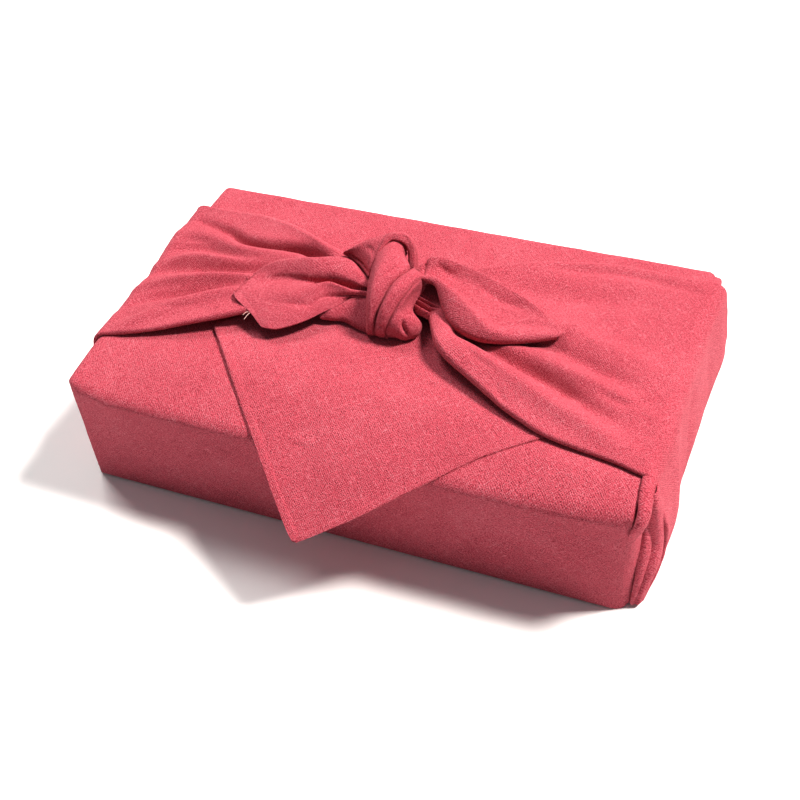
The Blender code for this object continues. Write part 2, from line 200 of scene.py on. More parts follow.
LEFT_WING = (
    # girth, front, back, front_roll, back_roll, front_gap, back_gap, middle
    (0.5, -73, 74, 0.8, 0.8, 0.2, 0.3, 1.2),
    (14, -72, 74, 0.9, 1, 0.2, 0.4, 1.4),
    (30, -68.5, 71, 0.9, 1.2, 0.2, 0.5, 1.4),
    (48, -60.9, 64, 0.9, 1.5, 0.2, 0.5, 1.4),
    (60, -53.8, 57.5, 0.9, 1.8, 0.2, 0.5, 1.6),
    (70, -50.5, 54, 1, 2.3, 0.3, 0.6, 2.4),
    (80, -48, 52.5, 1.3, 3, 1.2, 0.8, 4),
    (92, -43.5, 52, 1.5, 3.4, 2.4, 1.2, 5.6),
    (104, -38, 51, 1.6, 3.8, 4.2, 1.6, 6.8),
    (116, -31.5, 48, 1.7, 4.2, 5.2, 2.2, 8),
    (130, -24, 43, 1.8, 4.6, 6.4, 2.6, 9.2),
    (147, -12, 34.5, 2, 5.6, 6.6, 2.4, 10),
    (162, -4, 30.5, 2.2, 4.4, 4.5, 2.2, 10.5),
    (178, -8, 28, 2.4, 3.4, 3, 2, 10),
    (192, -12, 27, 2.6, 3, 2, 2, 9),
)
UNDERCUT = 12.0  # how far the cloth runs back under an edge
UNDERCUT_SLOPE = 0.7  # the share of its gap that it has lost at the end of that
CROWN = 0.7  # how full a wing is between its edges; a lower value is fuller
WING_FOOT = 0.4  # the lowest that a wing comes to the floor
WING_FACES, UNDER_FACES, ROLL_FACES, MIDDLE_FACES = 150, 6, 12, 84  # along, and across its parts

# The wings' folds: a width, how sharp it is and a path of (reach, y, height).
RIGHT_WING_FOLDS = (
    (5, 2, ((30, -18, 0.5), (59, -27, 2.2), (82, -37, 2.8), (99, -43, 2.6), (111, -48, 2),
        (130, -54, 0.4))),
    (3.6, 2, ((34, -9, -4), (60, -17, -6.5), (81, -24, -6), (92, -29, -4.4), (106, -35, -2.6),
        (124, -41, 0))),
    (4, 2, ((28, -2, -3), (40, -6, -6.5), (52, -6, -6.5), (64, -3, -5), (74, -3, -3), (96, -10, -3),
        (110, -13, -2), (126, -17, 0))),
    (6, 2, ((50, 6, 0), (79, 9, 2), (97, 3, 2.2), (112, 1, 1.6), (130, -3, 0.4), (150, -6, 0))),
    (3.6, 2, ((68, -12, 0), (86, -17, 2), (104, -22, 2), (120, -27, 0.8), (132, -32, 0))),
    (8, 2, ((30, 26, -1), (55, 29, -2.4), (75, 32, -2.6), (95, 38, -2), (114, 42, 0))),
    (2.6, 2, ((52, 45, 0), (70, 50, -1.2), (92, 56, -1.6), (112, 57, -1.2), (128, 56, -0.6))),
    (1.6, 1.5, ((102, -23, 0), (109, -26, -1.4), (116, -27, -1.5), (121, -24, -0.9), (126, -18, 0))),
    (1.3, 1.5, ((84, -26, 0), (90, -27, -1.2), (98, -28, 0))),
    (1.3, 1.5, ((61, -37, 0), (64, -41, -1), (68, -45, 0))),
    (1.5, 1.6, ((40, -21, 0), (50, -26, -1), (60, -30, 0))),
    (8, 2, ((128, -30, 0), (145, -34, 1.6), (170, -44, 2.2), (194, -52, 0.6))),
    (6, 2, ((134, 4, 0), (150, 2, -1.2), (172, -6, -1.4), (192, -14, 0))),
    (8, 2, ((136, 48, 0.2), (150, 56, 1.2), (172, 62, 1.4), (192, 64, 0))),
    (5, 2, ((140, 30, 0), (156, 36, -1), (178, 40, -0.8), (194, 42, 0))),
)
LEFT_WING_FOLDS = (
    (2.2, 1.8, ((137, 41, 0), (130, 40.4, -0.8), (121, 38.5, -2.5), (108, 35, -4.3), (94, 29, -6.2),
        (80, 27.5, -7.6), (70, 27.5, -8.4), (60, 26.5, -9), (50, 23, -9.2), (38, 17, -8))),
    (3.6, 2, ((134, 30, 0.3), (122, 29, 1.4), (108, 26, 2), (94, 21, 2.2), (76, 20, 1.6), (58, 18, 1),
        (40, 10, 0))),
    (2.8, 2, ((134, 14, 0), (126, 17, -1.6), (113, 19, -2.2), (98, 17, -1.8), (84, 16, 0))),
    (2.8, 2, ((135, 3, 0.4), (121, 9, 2.4), (110, 12, 2.4), (96, 12, 1.6), (84, 12, 0.4))),
    (3.4, 2, ((138, -6, 0), (130, -2, -1.6), (117, 3, -3.4), (98, 6, -4.2), (78, 9, -4.2), (60, 8, -2.4))),
    (3, 2, ((135, -18, 0.4), (122, -11, 2.8), (106, -6, 3.6), (90, -2, 3.4), (74, 0, 1.8), (60, 1, 0.4))),
    (3, 2, ((136, -34, 0), (126, -26, -1.8), (114, -19, -3.2), (99, -13, -3.2), (86, -8, -1.4),
        (78, -5, 0))),
    (4, 2, ((130, -49, 0), (122, -43, 1.6), (109, -31, 3.2), (96, -21, 3.6), (84, -14, 3), (66, -6, 1.4))),
    (1.3, 1.6, ((126, -38, 0), (114, -33, -0.9), (102, -29, -0.8), (92, -24, 0))),
    (1.2, 1.6, ((130, 22, 0), (120, 24, -0.7), (106, 23, 0))),
    (1.1, 1.6, ((116, 10, 0), (106, 4, -0.7), (98, -2, 0))),
    (17, 2, ((104, 26, 0), (122, 27, 1.4), (137, 27, 2.6), (150, 28, 3), (170, 32, 2), (194, 36, 0.6))),
    (6, 2, ((150, -30, 0), (165, -36, 0.8), (190, -40, 0))),
    (6, 2, ((150, 10, 0), (165, 14, -0.8), (190, 20, 0))),
)

# The free ends, each as rows of points from the knot outwards: x, y and height.
LEFT_END = (
    # back edge, crest, front of the roll, under the roll, second fold, its foot, panel, front edge
    ((-8, 9, 11), (-8, 5, 14.5), (-8, 3.6, 13.5), (-8, 4, 11.5), (-8, 1, 12.5), (-8, 0, 9.5),
     (-8, 1, 8.5), (-8, 2, 8)),
    ((-16, 9, 12), (-16.8, 5.6, 15.7), (-16.8, 3.2, 14.4), (-16.8, 4.4, 12.2), (-16, 1, 13.2),
     (-16, 0, 10.6), (-16, 1.4, 9.5), (-16, 2.6, 8.8)),
    ((-22.5, 13.5, 13), (-23.5, 10, 17.7), (-23.5, 4.5, 16), (-23, 3.4, 12.2), (-22.5, -0.2, 13.9),
     (-22.5, -1.6, 10.8), (-23, -0.6, 9.6), (-23, 0.4, 8.6)),
    ((-28, 17.5, 14), (-29, 14, 19.2), (-29, 5.5, 17.4), (-28.5, 2.8, 12.4), (-28, -0.3, 14.7),
     (-28, -3.6, 11.4), (-28, -5, 10), (-28, -7.3, 8.5)),
    ((-35, 17.5, 14.5), (-35.8, 13.2, 20.7), (-36, 5.5, 18), (-35.5, 2.6, 12.6), (-35, -0.2, 15),
     (-34, -5, 12), (-33, -9, 10.4), (-32.5, -12.5, 8)),
    ((-43.5, 14.5, 15), (-44.6, 9.3, 21.4), (-45.5, 3, 17.6), (-44, 0.2, 13.2), (-41, -4.5, 15),
     (-39, -10, 12), (-37.5, -14.5, 10), (-37, -18.5, 7.5)),
    ((-53, 12, 14.5), (-55, 8, 19.6), (-57, 2, 15.6), (-55, -0.8, 12.6), (-48, -9, 14.2),
     (-46, -14.5, 11.6), (-44, -19.5, 10.2), (-42, -24, 7.4)),
    ((-63, 9, 14), (-66, 5, 17.3), (-68.5, -0.5, 14.2), (-66, -4.5, 12.6), (-59, -12.4, 12.8),
     (-54.5, -19, 10.8), (-51.5, -24, 9.4), (-49, -29, 7)),
    ((-71, 1, 12.8), (-73, -2, 14.2), (-74.5, -6.5, 13), (-72, -10, 12.2), (-65.5, -17, 11.4),
     (-60.5, -22, 10), (-57, -26, 8.8), (-54, -30, 7)),
    ((-77.2, -14.6, 11.4), (-77.6, -15.6, 11.5), (-76, -18, 11.2), (-72.4, -20.3, 10.7), (-67.4, -23, 10),
     (-63, -25.6, 9.2), (-60, -27.8, 8.2), (-56.5, -30, 7)),
)
LEFT_END_FOLDS = (
    # a width, how sharp it is and a path of (across, outwards, height), from 0 to 1
    (1.1, 1.3, ((0.42, 0.10, -1), (0.43, 0.28, -1.8), (0.43, 0.42, -2.8), (0.42, 0.52, -1.6),
        (0.40, 0.60, -0.4), (0.38, 0.68, 0))),
    (0.9, 1.4, ((0.68, 0.12, -1), (0.70, 0.26, -1.6), (0.72, 0.38, -1.4), (0.74, 0.48, -0.6),
        (0.76, 0.56, 0))),
    (1, 1.6, ((0.56, 0.30, 0.4), (0.56, 0.42, 0.8), (0.54, 0.52, 0.5), (0.50, 0.62, 0))),
    (2, 2, ((0.28, 0.62, 0), (0.40, 0.73, -0.8), (0.48, 0.86, 0))),
    (1.6, 2, ((0.80, 0.50, 0), (0.76, 0.60, -0.7), (0.70, 0.70, -0.5), (0.64, 0.82, 0))),
    (0.5, 1.4, ((0.20, 0.955, 0), (0.36, 0.95, -0.35), (0.60, 0.945, -0.35), (0.84, 0.95, -0.3),
        (0.98, 0.955, 0))),
)
RIGHT_END = (
    # back edge, crest, hollow, before the ridge, ridge, its front, its foot
    ((3, 21, 12), (3, 21.5, 18), (3, 17, 16), (3.6, 13, 16), (4, 11.5, 18), (4, 10.5, 17), (4, 12, 13)),
    ((7.6, 25.5, 14), (8, 25.2, 21.6), (8.4, 19, 18.8), (9, 14.5, 18.4), (9.5, 12, 20.8),
     (9.4, 9.6, 20.2), (9.6, 12, 16)),
    ((14, 27, 15), (14.2, 26, 21.6), (14.6, 20, 17.6), (15, 14, 17.2), (15.8, 11, 21.6),
     (15.2, 8.4, 19.6), (15.4, 11, 15)),
    ((20, 27.6, 15.5), (20.4, 26.4, 20.2), (20.8, 20, 16.2), (21, 12, 16.4), (21.6, 7.6, 21.2),
     (20.4, 3, 16.6), (19.8, 4, 11.5)),
    ((28, 26.4, 15), (28, 25.6, 18.6), (28.6, 19, 15.4), (29, 9, 15.8), (29.8, 2.4, 20), (27.6, -5, 14),
     (26.8, -5, 9.5)),
    ((38, 24, 14), (38.2, 23.4, 16.8), (38.6, 16, 14.2), (38.8, 3, 14.6), (39.2, -3.8, 18),
     (37.4, -10.6, 12.8), (37, -10.8, 9)),
    ((47, 21, 13.4), (47.2, 20.6, 15.2), (47.8, 14, 12.8), (47.8, 0, 12.6), (47.6, -8.2, 15.6),
     (47.2, -12.2, 12.2), (47, -12.2, 9)),
    ((56.4, 17.6, 12.8), (56.6, 17, 14), (57, 12, 12), (57, 2, 11.6), (56.6, -6.6, 13.2),
     (56.6, -9.8, 11.6), (56.6, -10.2, 9)),
    ((66, 12.6, 12), (66.2, 12, 12.8), (66.4, 8.6, 12), (66.6, 3, 11.6), (66.8, -2.6, 12.6),
     (67, -5.6, 11.4), (67, -6, 9.2)),
    ((77, 5.4, 10.4), (77.4, 4.6, 11.2), (78.2, 3.6, 11.6), (78.8, 2.4, 11.6), (78.4, 0.8, 11.4),
     (77.4, -0.6, 10.8), (76.6, -1, 9.4)),
)
RIGHT_END_FOLDS = (
    (0.7, 1.4, ((0.56, 0.24, 0), (0.58, 0.34, -0.7), (0.59, 0.46, -0.9), (0.60, 0.58, -0.7),
        (0.60, 0.70, 0))),
    (2, 2, ((0.26, 0.16, 0), (0.30, 0.24, -1), (0.32, 0.32, -0.8), (0.32, 0.40, 0))),
    (2.2, 2, ((0.30, 0.48, 0), (0.34, 0.60, -0.9), (0.34, 0.72, -0.9), (0.36, 0.82, 0))),
    (1.3, 1.8, ((0.56, 0.66, 0), (0.50, 0.76, 0.6), (0.42, 0.86, 0.5), (0.34, 0.94, 0))),
    (1, 1.5, ((0.12, 0.06, -1), (0.30, 0.07, -1.2), (0.46, 0.07, -0.6), (0.56, 0.08, 0))),
    (1.6, 2, ((0.40, 0.30, 0), (0.44, 0.44, 0.5), (0.46, 0.60, 0.4), (0.44, 0.74, 0))),
)

# Loose threads at the corner of the left free end.
LOOSE_THREADS = (
    # points along each: x, y and height
    ((-64, -23, 9.2), (-65.4, -25.4, 8.8), (-66.6, -27.8, 7.4)),
    ((-65.2, -23.6, 8.6), (-66.8, -24.4, 9), (-68, -26, 8.2)),
)
THREAD_RADIUS = 0.16
THREAD_FACES, THREAD_SIDES = 24, 8

# The knot's loops and folds, in the same way as the free ends.
BAND_LEFT = (
    # left foot, left shoulder, top, right shoulder, right foot
    ((-17, 33, 14), (-17, 33, 19), (-12.5, 33, 22.5), (-8.5, 31, 21), (-7, 31, 16)),
    ((-18.2, 26, 14), (-17.6, 26, 21), (-12.5, 27, 24), (-7.4, 25.6, 22), (-6, 26, 17)),
    ((-18.5, 21, 13), (-18.2, 20.5, 20.8), (-11.5, 20.5, 25.2), (-3.8, 20.2, 23), (-2.6, 21, 18)),
    ((-18, 16.5, 12.5), (-17.8, 16, 20), (-10.5, 14.5, 26), (-0.2, 14.8, 23.8), (0.8, 15.6, 18.5)),
    ((-17.5, 12, 12), (-17.2, 11.5, 19.3), (-10, 9, 26.2), (0.1, 8.6, 24.5), (0.9, 9.4, 19)),
    ((-16.5, 7, 11), (-16.3, 6.5, 18.3), (-10, 3.5, 25.8), (-1.9, 2.5, 24.2), (-1.3, 3.4, 19)),
    ((-15, 1.5, 10), (-15, 1, 17), (-9.8, -2.6, 24), (-3.5, -3, 22.6), (-3, -2, 17.5)),
    ((-13.5, -4, 8), (-13.5, -4.3, 15), (-9.4, -7.6, 21), (-4.4, -8, 19.8), (-4, -7, 15)),
    ((-12, -8, 6), (-12, -8.8, 12), (-9, -11.4, 17.2), (-5.4, -11.3, 16.2), (-5.1, -10.2, 12)),
    ((-11, -11.5, 4), (-11, -12, 9), (-8.6, -14.2, 12.9), (-6, -13.6, 12.2), (-5.8, -12.4, 8)),
    ((-10.5, -13.5, 2), (-10.4, -14.5, 5.5), (-8.3, -16, 8.4), (-6.1, -15.6, 8), (-5.6, -13.8, 5)),
    ((-9.8, -14, 0.8), (-9.6, -15.6, 2.5), (-8, -16.8, 4.2), (-6.2, -16, 4), (-5.8, -14.2, 2)),
    ((-9.4, -12, 0.6), (-9.2, -13.5, 0.8), (-7.8, -14.3, 1), (-6.4, -13.8, 1), (-6, -12.4, 0.8)),
)
BAND_LEFT_FOLDS = (
    (0.45, 1.3, ((0.74, 0.25, 0), (0.68, 0.31, -0.9), (0.64, 0.38, -1), (0.62, 0.48, -0.4),
        (0.62, 0.56, 0))),
    (0.4, 1.3, ((0.64, 0.22, 0), (0.60, 0.27, -0.6), (0.55, 0.34, -0.5), (0.52, 0.42, 0))),
    (0.6, 1.5, ((0.34, 0.34, 0), (0.36, 0.46, -0.3), (0.40, 0.60, -0.4), (0.42, 0.76, 0))),
)
BAND_RIGHT = (
    # left foot, left shoulder, top, right shoulder, right foot
    ((0.6, 14.8, 15), (1.2, 14.4, 19.8), (2.4, 15, 21), (3.6, 15.9, 20), (3.8, 17, 15)),
    ((0.2, 9.8, 17), (1.2, 9.2, 22), (4.2, 9.7, 23.6), (8, 10.8, 21.3), (8.8, 12.2, 16)),
    ((-1.7, 4, 17.5), (-0.7, 3.2, 22.6), (3.2, 3.1, 24.6), (7.1, 3.8, 22.8), (7.4, 5, 17.5)),
    ((-3.4, -1.6, 16), (-2.4, -2.6, 21.2), (1.6, -3.8, 23.8), (5.6, -3.3, 22), (5.8, -2, 17)),
    ((-4.4, -6.8, 13.5), (-3.3, -8, 18.4), (0.2, -9.8, 21), (3.6, -9, 19.2), (3.8, -7.8, 14)),
    ((-5.5, -10, 10), (-4.4, -11.3, 14.8), (-1.3, -14, 17), (1.9, -13.6, 15.6), (2.2, -12.4, 10.5)),
    ((-6.1, -12.2, 6.6), (-5.1, -13.6, 10.8), (-2.3, -16.1, 12.8), (0.6, -15.7, 11.9), (0.8, -14.4, 7.5)),
    ((-6.3, -14.2, 3.6), (-5.4, -15.5, 7.2), (-2.8, -17.1, 8.7), (-0.2, -16.5, 8.2), (0, -15, 4.5)),
    ((-6.1, -14.4, 1.5), (-5.4, -15.8, 3.8), (-2.9, -16.9, 4.8), (-0.3, -16, 4.4), (-0.1, -14.6, 2)),
    ((-6, -13, 0.8), (-5.6, -13.7, 1), (-3.2, -14.8, 1.3), (-0.8, -14.2, 1.2), (-0.4, -13, 0.8)),
)
BAND_RIGHT_FOLDS = (
    (0.7, 1.5, ((0.66, 0.34, 0), (0.62, 0.44, -0.5), (0.58, 0.56, -0.5), (0.52, 0.70, 0))),
    (0.8, 1.4, ((0.24, 0.70, 0), (0.42, 0.735, -0.7), (0.62, 0.75, -0.5), (0.74, 0.76, 0))),
    (1.6, 2, ((0.42, 0.22, 0), (0.42, 0.44, 0.3), (0.40, 0.66, 0))),
)
HOOD = (
    # foot of the rim, rim, face, front of the ridge, back of the ridge, back foot
    ((-38.3, 25.5, 12.5), (-38.4, 25.2, 13.5), (-38.2, 25, 14.2), (-37.8, 25.4, 14.8),
     (-37.4, 26.3, 14.5), (-37, 26.8, 12.5)),
    ((-34.2, 27, 9), (-34.6, 25, 12), (-34, 24.6, 14.5), (-33, 25.5, 17.8), (-32.5, 28, 17.5),
     (-32.5, 30.5, 12)),
    ((-28, 24, 8), (-28.5, 20.8, 12.4), (-27.5, 22, 17), (-26.8, 26, 21.3), (-26.8, 30, 20.5),
     (-27, 33.5, 12)),
    ((-22, 18.5, 9), (-22.8, 15.4, 13), (-22, 18.5, 19), (-21.5, 26, 24), (-21.5, 31, 22.5),
     (-21.5, 35.5, 12)),
    ((-18.4, 15, 11), (-19, 12, 14), (-19, 16.5, 19.5), (-17.8, 27, 25.2), (-17.2, 33, 23.5),
     (-17, 37.5, 12)),
    ((-16.5, 23, 19), (-17, 19.4, 21), (-17, 22.5, 24), (-16, 28.8, 26.3), (-15.6, 33.5, 24),
     (-15.3, 38, 12)),
    ((-14, 31, 22), (-14.2, 27.6, 24), (-14.2, 28.4, 25.6), (-13.8, 31, 26.6), (-13.6, 34.5, 24),
     (-13.5, 38.4, 12)),
    ((-10, 33, 20), (-10.2, 29.2, 23.8), (-10, 29.8, 25.4), (-9.6, 32.4, 26.6), (-9.5, 35.8, 23.5),
     (-9.5, 39, 12)),
    ((-8, 33, 18), (-7.4, 29.8, 22), (-7, 30.2, 23.6), (-6, 32.4, 25), (-5.6, 35.4, 21.5),
     (-6.6, 38.8, 11)),
    ((-7, 31, 14), (-5.2, 28.6, 18.6), (-4.6, 29, 20.4), (-3.2, 30.8, 21.4), (-3, 33.6, 17.5),
     (-4.6, 37, 9)),
    ((-6, 28, 10), (-4.3, 26, 15), (-3.6, 26.4, 16.6), (-2, 28, 17.2), (-1.8, 31, 13.5), (-3.6, 34.8, 7)),
    ((-5, 25, 7), (-3.4, 23.4, 11), (-2.6, 23.8, 12.4), (-1, 25, 12.6), (-1, 27.8, 9.6), (-3, 31.5, 6)),
)
HOOD_FOLDS = (
    (0.6, 1.4, ((0.34, 0.04, -0.6), (0.30, 0.12, -1.6), (0.27, 0.22, -1.8), (0.26, 0.33, -1))),
    (1.4, 2, ((0.58, 0.16, 0), (0.50, 0.27, -0.6), (0.44, 0.38, 0))),
    (1, 2, ((0.52, 0.60, 0), (0.50, 0.70, -0.4), (0.46, 0.80, 0))),
)
LOBE = (
    # left foot, left shoulder, top, right shoulder, right foot
    ((6.4, 7.8, 16), (7, 7, 20.4), (7.8, 8.8, 21), (8.5, 12, 19.5), (8.8, 13.6, 15)),
    ((5.6, 0.8, 15.5), (6.4, -0.4, 20.4), (8.3, 2.2, 21), (9.3, 8.2, 18.4), (9.6, 10, 13.5)),
    ((3.8, -5.2, 13.5), (4.6, -6.6, 18.4), (6.9, -4.8, 19.4), (8, 2.6, 17), (8.4, 5, 12.5)),
    ((2.1, -9.6, 10.5), (2.9, -11.2, 15.4), (5.6, -9.8, 17), (7.4, -2.5, 15.6), (7.8, 0, 10.5)),
    ((1, -12.8, 7.5), (1.6, -14.3, 12), (5.4, -13, 15.4), (8.6, -5.4, 13.6), (9, -2, 8.5)),
    ((0.2, -14.2, 5), (0.8, -15.7, 8.8), (6.2, -15, 13.4), (12, -8.6, 12.2), (12.6, -4.5, 7.5)),
    ((0.2, -14.4, 3), (0.7, -15.7, 5.7), (7.2, -16.2, 10.6), (14, -10.4, 9.4), (14.4, -6.6, 6)),
    ((1, -13.8, 1.6), (1.5, -14.8, 3), (8.4, -16.4, 6.8), (13.8, -12, 5.8), (14, -9, 3.2)),
    ((3, -11.6, 0.7), (3.2, -12.6, 1.2), (8.2, -14.4, 2.4), (11.6, -12.4, 2.4), (11.6, -10.8, 1)),
)
LOBE_FOLDS = (
    (0.9, 1.4, ((0.58, 0.56, 0), (0.58, 0.64, -1.2), (0.57, 0.72, -2.6), (0.58, 0.82, -2.6),
        (0.60, 0.90, -0.8))),
    (0.5, 1.4, ((0.78, 0.50, 0), (0.80, 0.60, -0.6), (0.80, 0.70, -0.5), (0.78, 0.80, 0))),
    (2, 2, ((0.42, 0.50, 0), (0.40, 0.64, 0.6), (0.40, 0.80, 0))),
)
UNDER_FOLD = (
    # back, top, front, front foot
    ((-33, -10, 5), (-35, -12, 5.6), (-34.4, -13.4, 4.6), (-33.4, -13.2, 3.6)),
    ((-28, -7, 8), (-29.5, -10, 8.2), (-29, -12.6, 5.4), (-28, -11.6, 2.8)),
    ((-22, 0, 10), (-23.5, -5, 9.4), (-23.5, -10, 5.6), (-23, -10.6, 2.6)),
    ((-16, 3, 11), (-16.5, -4, 10), (-17, -11.5, 5.6), (-16.6, -12.6, 2)),
    ((-8, 3, 11), (-8.5, -5, 10.4), (-9, -13, 5.4), (-9, -14, 1.4)),
)
PLEATS = (
    # across the pleats, from the back to the front: fold after fold
    ((3, 9, 14), (3, 8, 10), (3, 7, 14.2), (3, 6, 10), (3, 5, 13.8), (3, 4, 9.5), (3, 3, 12.4),
     (3, 1.4, 8)),
    ((9, 8, 12.6), (9, 6.8, 9.4), (9, 5.4, 13.2), (9, 4.4, 9.4), (9, 3.4, 12.6), (9, 2.2, 9),
     (9, 1, 11.4), (9, -0.6, 7.5)),
    ((16, 6.8, 10.6), (16, 5.6, 8.4), (16, 3.8, 12), (16, 2.8, 8.6), (16, 1.8, 11.4), (16, 0.6, 8),
     (16, -0.6, 9.8), (16, -2.4, 7)),
    ((25, 4.6, 8.4), (25, 3.2, 7.4), (25, 1.4, 10.4), (25, 0.2, 7.8), (25, -1.2, 9.8), (25, -2.4, 7.4),
     (25, -3.8, 8.4), (25, -5.6, 6.4)),
    ((36, 2, 6.6), (36, 0, 6.2), (36, -2.4, 8), (36, -4, 6.6), (36, -5.8, 7.8), (36, -7.4, 6.4),
     (36, -9, 7), (36, -11.5, 5.8)),
)

# The folds at the front right corner, from the top down: the cloth that turns the corner, and what is
# gathered behind it under the wing.
CORNER_STRIP = (
    # inner foot, inner edge, crest, outer edge, outer foot
    ((131.6, -58, 0.2), (132, -59, 0.8), (134, -59, 1), (136, -58.5, 0), (136.4, -58, -2)),
    ((132.2, -65, 0), (132.6, -65.6, 0.7), (134.6, -66, 0.9), (136.6, -65.5, -0.6), (136.8, -65, -3)),
    ((133, -71.5, -1.4), (133.4, -72.4, -0.4), (135.6, -72.6, -0.2), (137.4, -71.8, -1.8),
     (137.2, -71, -4.6)),
    ((134, -77, -3.8), (134.4, -78, -2.4), (136.2, -78, -2.2), (137.8, -76.6, -4), (137, -75.4, -7)),
    ((133.8, -80.2, -7), (134.8, -81.4, -5.8), (136.4, -80.6, -5.8), (137.4, -78.8, -7.4),
     (136.4, -77, -10)),
    ((132.2, -81.2, -12), (133.6, -81.8, -11), (135.2, -80.8, -11), (136, -78.8, -12), (135.4, -77, -14)),
    ((130.6, -79.6, -18), (131.6, -79.8, -18), (133, -78.8, -18), (133.8, -77.2, -18.5), (133.6, -76, -20)),
    ((128.6, -77, -26), (129.6, -77.2, -26), (131, -76.4, -26), (131.8, -75.2, -26), (131.6, -74, -27)),
)
CORNER_PLEAT = (
    # front foot, front, crest, back, back foot
    ((136, -69, -2), (137.2, -69.7, -0.6), (138.2, -68.6, 0), (138, -65, -1), (136.5, -61, -2)),
    ((136, -70.6, -6), (138.2, -70.8, -4.8), (139.2, -69.6, -4.6), (139, -65.6, -5), (137, -61, -6)),
    ((136, -69.1, -13), (138.8, -69, -12.5), (140, -67.5, -12.5), (140, -62.6, -13), (138, -58, -13)),
    ((136, -67.9, -23), (139.2, -67.6, -22.5), (140.8, -65.4, -23), (140.8, -60.5, -23), (138.6, -55, -23)),
    ((136, -67.4, -34), (139.6, -67, -34), (141.4, -64.8, -34), (141.4, -60, -34), (139, -54.5, -34)),
    ((136, -71.5, -44), (139.4, -71.3, -44), (141.3, -69, -44), (141.6, -64, -44), (139, -58, -44)),
    ((135.6, -74.4, -55), (137.6, -74.6, -55), (138.8, -72.6, -55), (139.4, -69, -55), (138, -62.4, -55)),
    ((134.6, -75.6, -62.6), (136, -76, -63), (137, -74.4, -63), (137.6, -71.4, -63), (136.4, -65.6, -62.6)),
)
CORNER_TUCK = (
    # front foot, front, crest, back, back foot
    ((134.7, -69.1, -20), (135.6, -69.1, -19), (136.2, -67.6, -19), (136.2, -65.6, -20),
     (134.7, -63.6, -20)),
    ((134.7, -71.1, -28), (136.2, -70.9, -27), (137.2, -69.3, -27), (137.2, -66.6, -27),
     (135.2, -63.6, -28)),
    ((134.4, -72.9, -37), (136.2, -72.7, -37), (137.6, -70.9, -37), (137.7, -67.9, -37),
     (135.4, -64.4, -37)),
    ((134, -75.1, -49), (135.5, -75.1, -49), (136.7, -73.4, -49), (136.9, -70.6, -49), (135, -67.1, -49)),
    ((133.3, -76.3, -63), (134.3, -76.5, -63), (135.2, -75.3, -63), (135.4, -72.8, -63), (134, -69.8, -63)),
)


# Surfaces as arrays of points: rows along a piece, columns across it.


def curve_weights(count, places):
    """How much each of a table's rows counts at places from 0 to 1, on a smooth curve through them."""
    at = np.clip(places, 0.0, 1.0) * (count - 1)
    low = np.minimum(at.astype(int), count - 2)
    share = at - low
    weights = np.zeros((len(at), count))
    shares = (
        -share + 2 * share ** 2 - share ** 3,
        2 - 5 * share ** 2 + 3 * share ** 3,
        share + 4 * share ** 2 - 3 * share ** 3,
        share ** 3 - share ** 2,
    )
    for shift, part in enumerate(shares, -1):
        rows = np.clip(low + shift, 0, count - 1)
        np.add.at(weights, (np.arange(len(at)), rows), part / 2)
    return weights


def smooth_rows(rows, places):
    return curve_weights(len(rows), places) @ np.array(rows, float)


def between(start, end, share):
    return start * (1 - share) + end * share


def patch(table, across, along):
    """Points on a smooth surface through a table's rows and columns."""
    table = np.array(table, float)
    down = curve_weights(table.shape[0], np.linspace(0, 1, along + 1))
    over = curve_weights(table.shape[1], np.linspace(0, 1, across + 1))
    return np.einsum("vr,rcx,uc->vux", down, table, over)


def raised(points, height):
    """A grid of points moved outwards by its own height at each of them."""
    normals = np.cross(np.gradient(points, axis=1), np.gradient(points, axis=0))
    normals /= np.maximum(np.linalg.norm(normals, axis=2, keepdims=True), 1e-12)
    return points + normals * height[:, :, None]


def laid_flat(points):
    """Where each point lies on the flat cloth: distances across and along, measured on the surface."""
    across = np.linalg.norm(np.diff(points, axis=1), axis=2)
    across = np.pad(np.cumsum(across, axis=1), ((0, 0), (1, 0)))
    middle = points.shape[1] // 2
    across = across - across[:, middle:middle + 1]
    along = np.linalg.norm(np.diff(points[:, middle], axis=0), axis=1)
    along = np.pad(np.cumsum(along), (1, 0))[:, None]
    return np.stack([across, np.broadcast_to(along, across.shape)], axis=2)


def folds_height(places, folds):
    """How far the folds raise the cloth at places on it: soft troughs and ridges along their paths."""
    steps_per_point = 12
    height = np.zeros(places.shape[:2])
    for width, sharp, path in folds:
        line = smooth_rows(path, np.linspace(0, 1, steps_per_point * len(path)))
        away = np.linalg.norm(places[:, :, None] - line[:, :2], axis=3)
        height += line[away.argmin(axis=2), 2] * np.exp(-((away.min(axis=2) / width) ** sharp))
    return height


def unevenness(points, seed, *swells):
    """Smooth chance heights over a grid of points. Each swell is its height and its size."""
    height = np.zeros(points.shape[:2])
    for number, (rise, size) in enumerate(swells, seed):
        shift = Vector((number * 17.3, number * 5.1, number * 9.7))
        values = [noise.noise(Vector(point) / size + shift) for point in points.reshape(-1, 3)]
        height += rise * np.array(values).reshape(height.shape)
    return height


def pressed(points, folds, seed):
    """A patch with its folds, whose paths are in shares of its width and length, and a slight unevenness."""
    flat = laid_flat(points)
    last_row, last_column = points.shape[0] - 1, points.shape[1] - 1
    placed = []
    for width, sharp, path in folds:
        spots = [flat[round(down * last_row), round(over * last_column)] for over, down, _ in path]
        placed.append((width, sharp, [(*spot, height) for spot, (_, _, height) in zip(spots, path)]))
    height = folds_height(flat, placed) + unevenness(points, seed, (0.12, 6.0), (0.12, 2.5))
    return raised(points, height), flat


# Building and finishing a piece.


def in_mm(sizes, *names):
    """Values of a property group, in millimetres."""
    return [getattr(sizes, name) / MM for name in names]


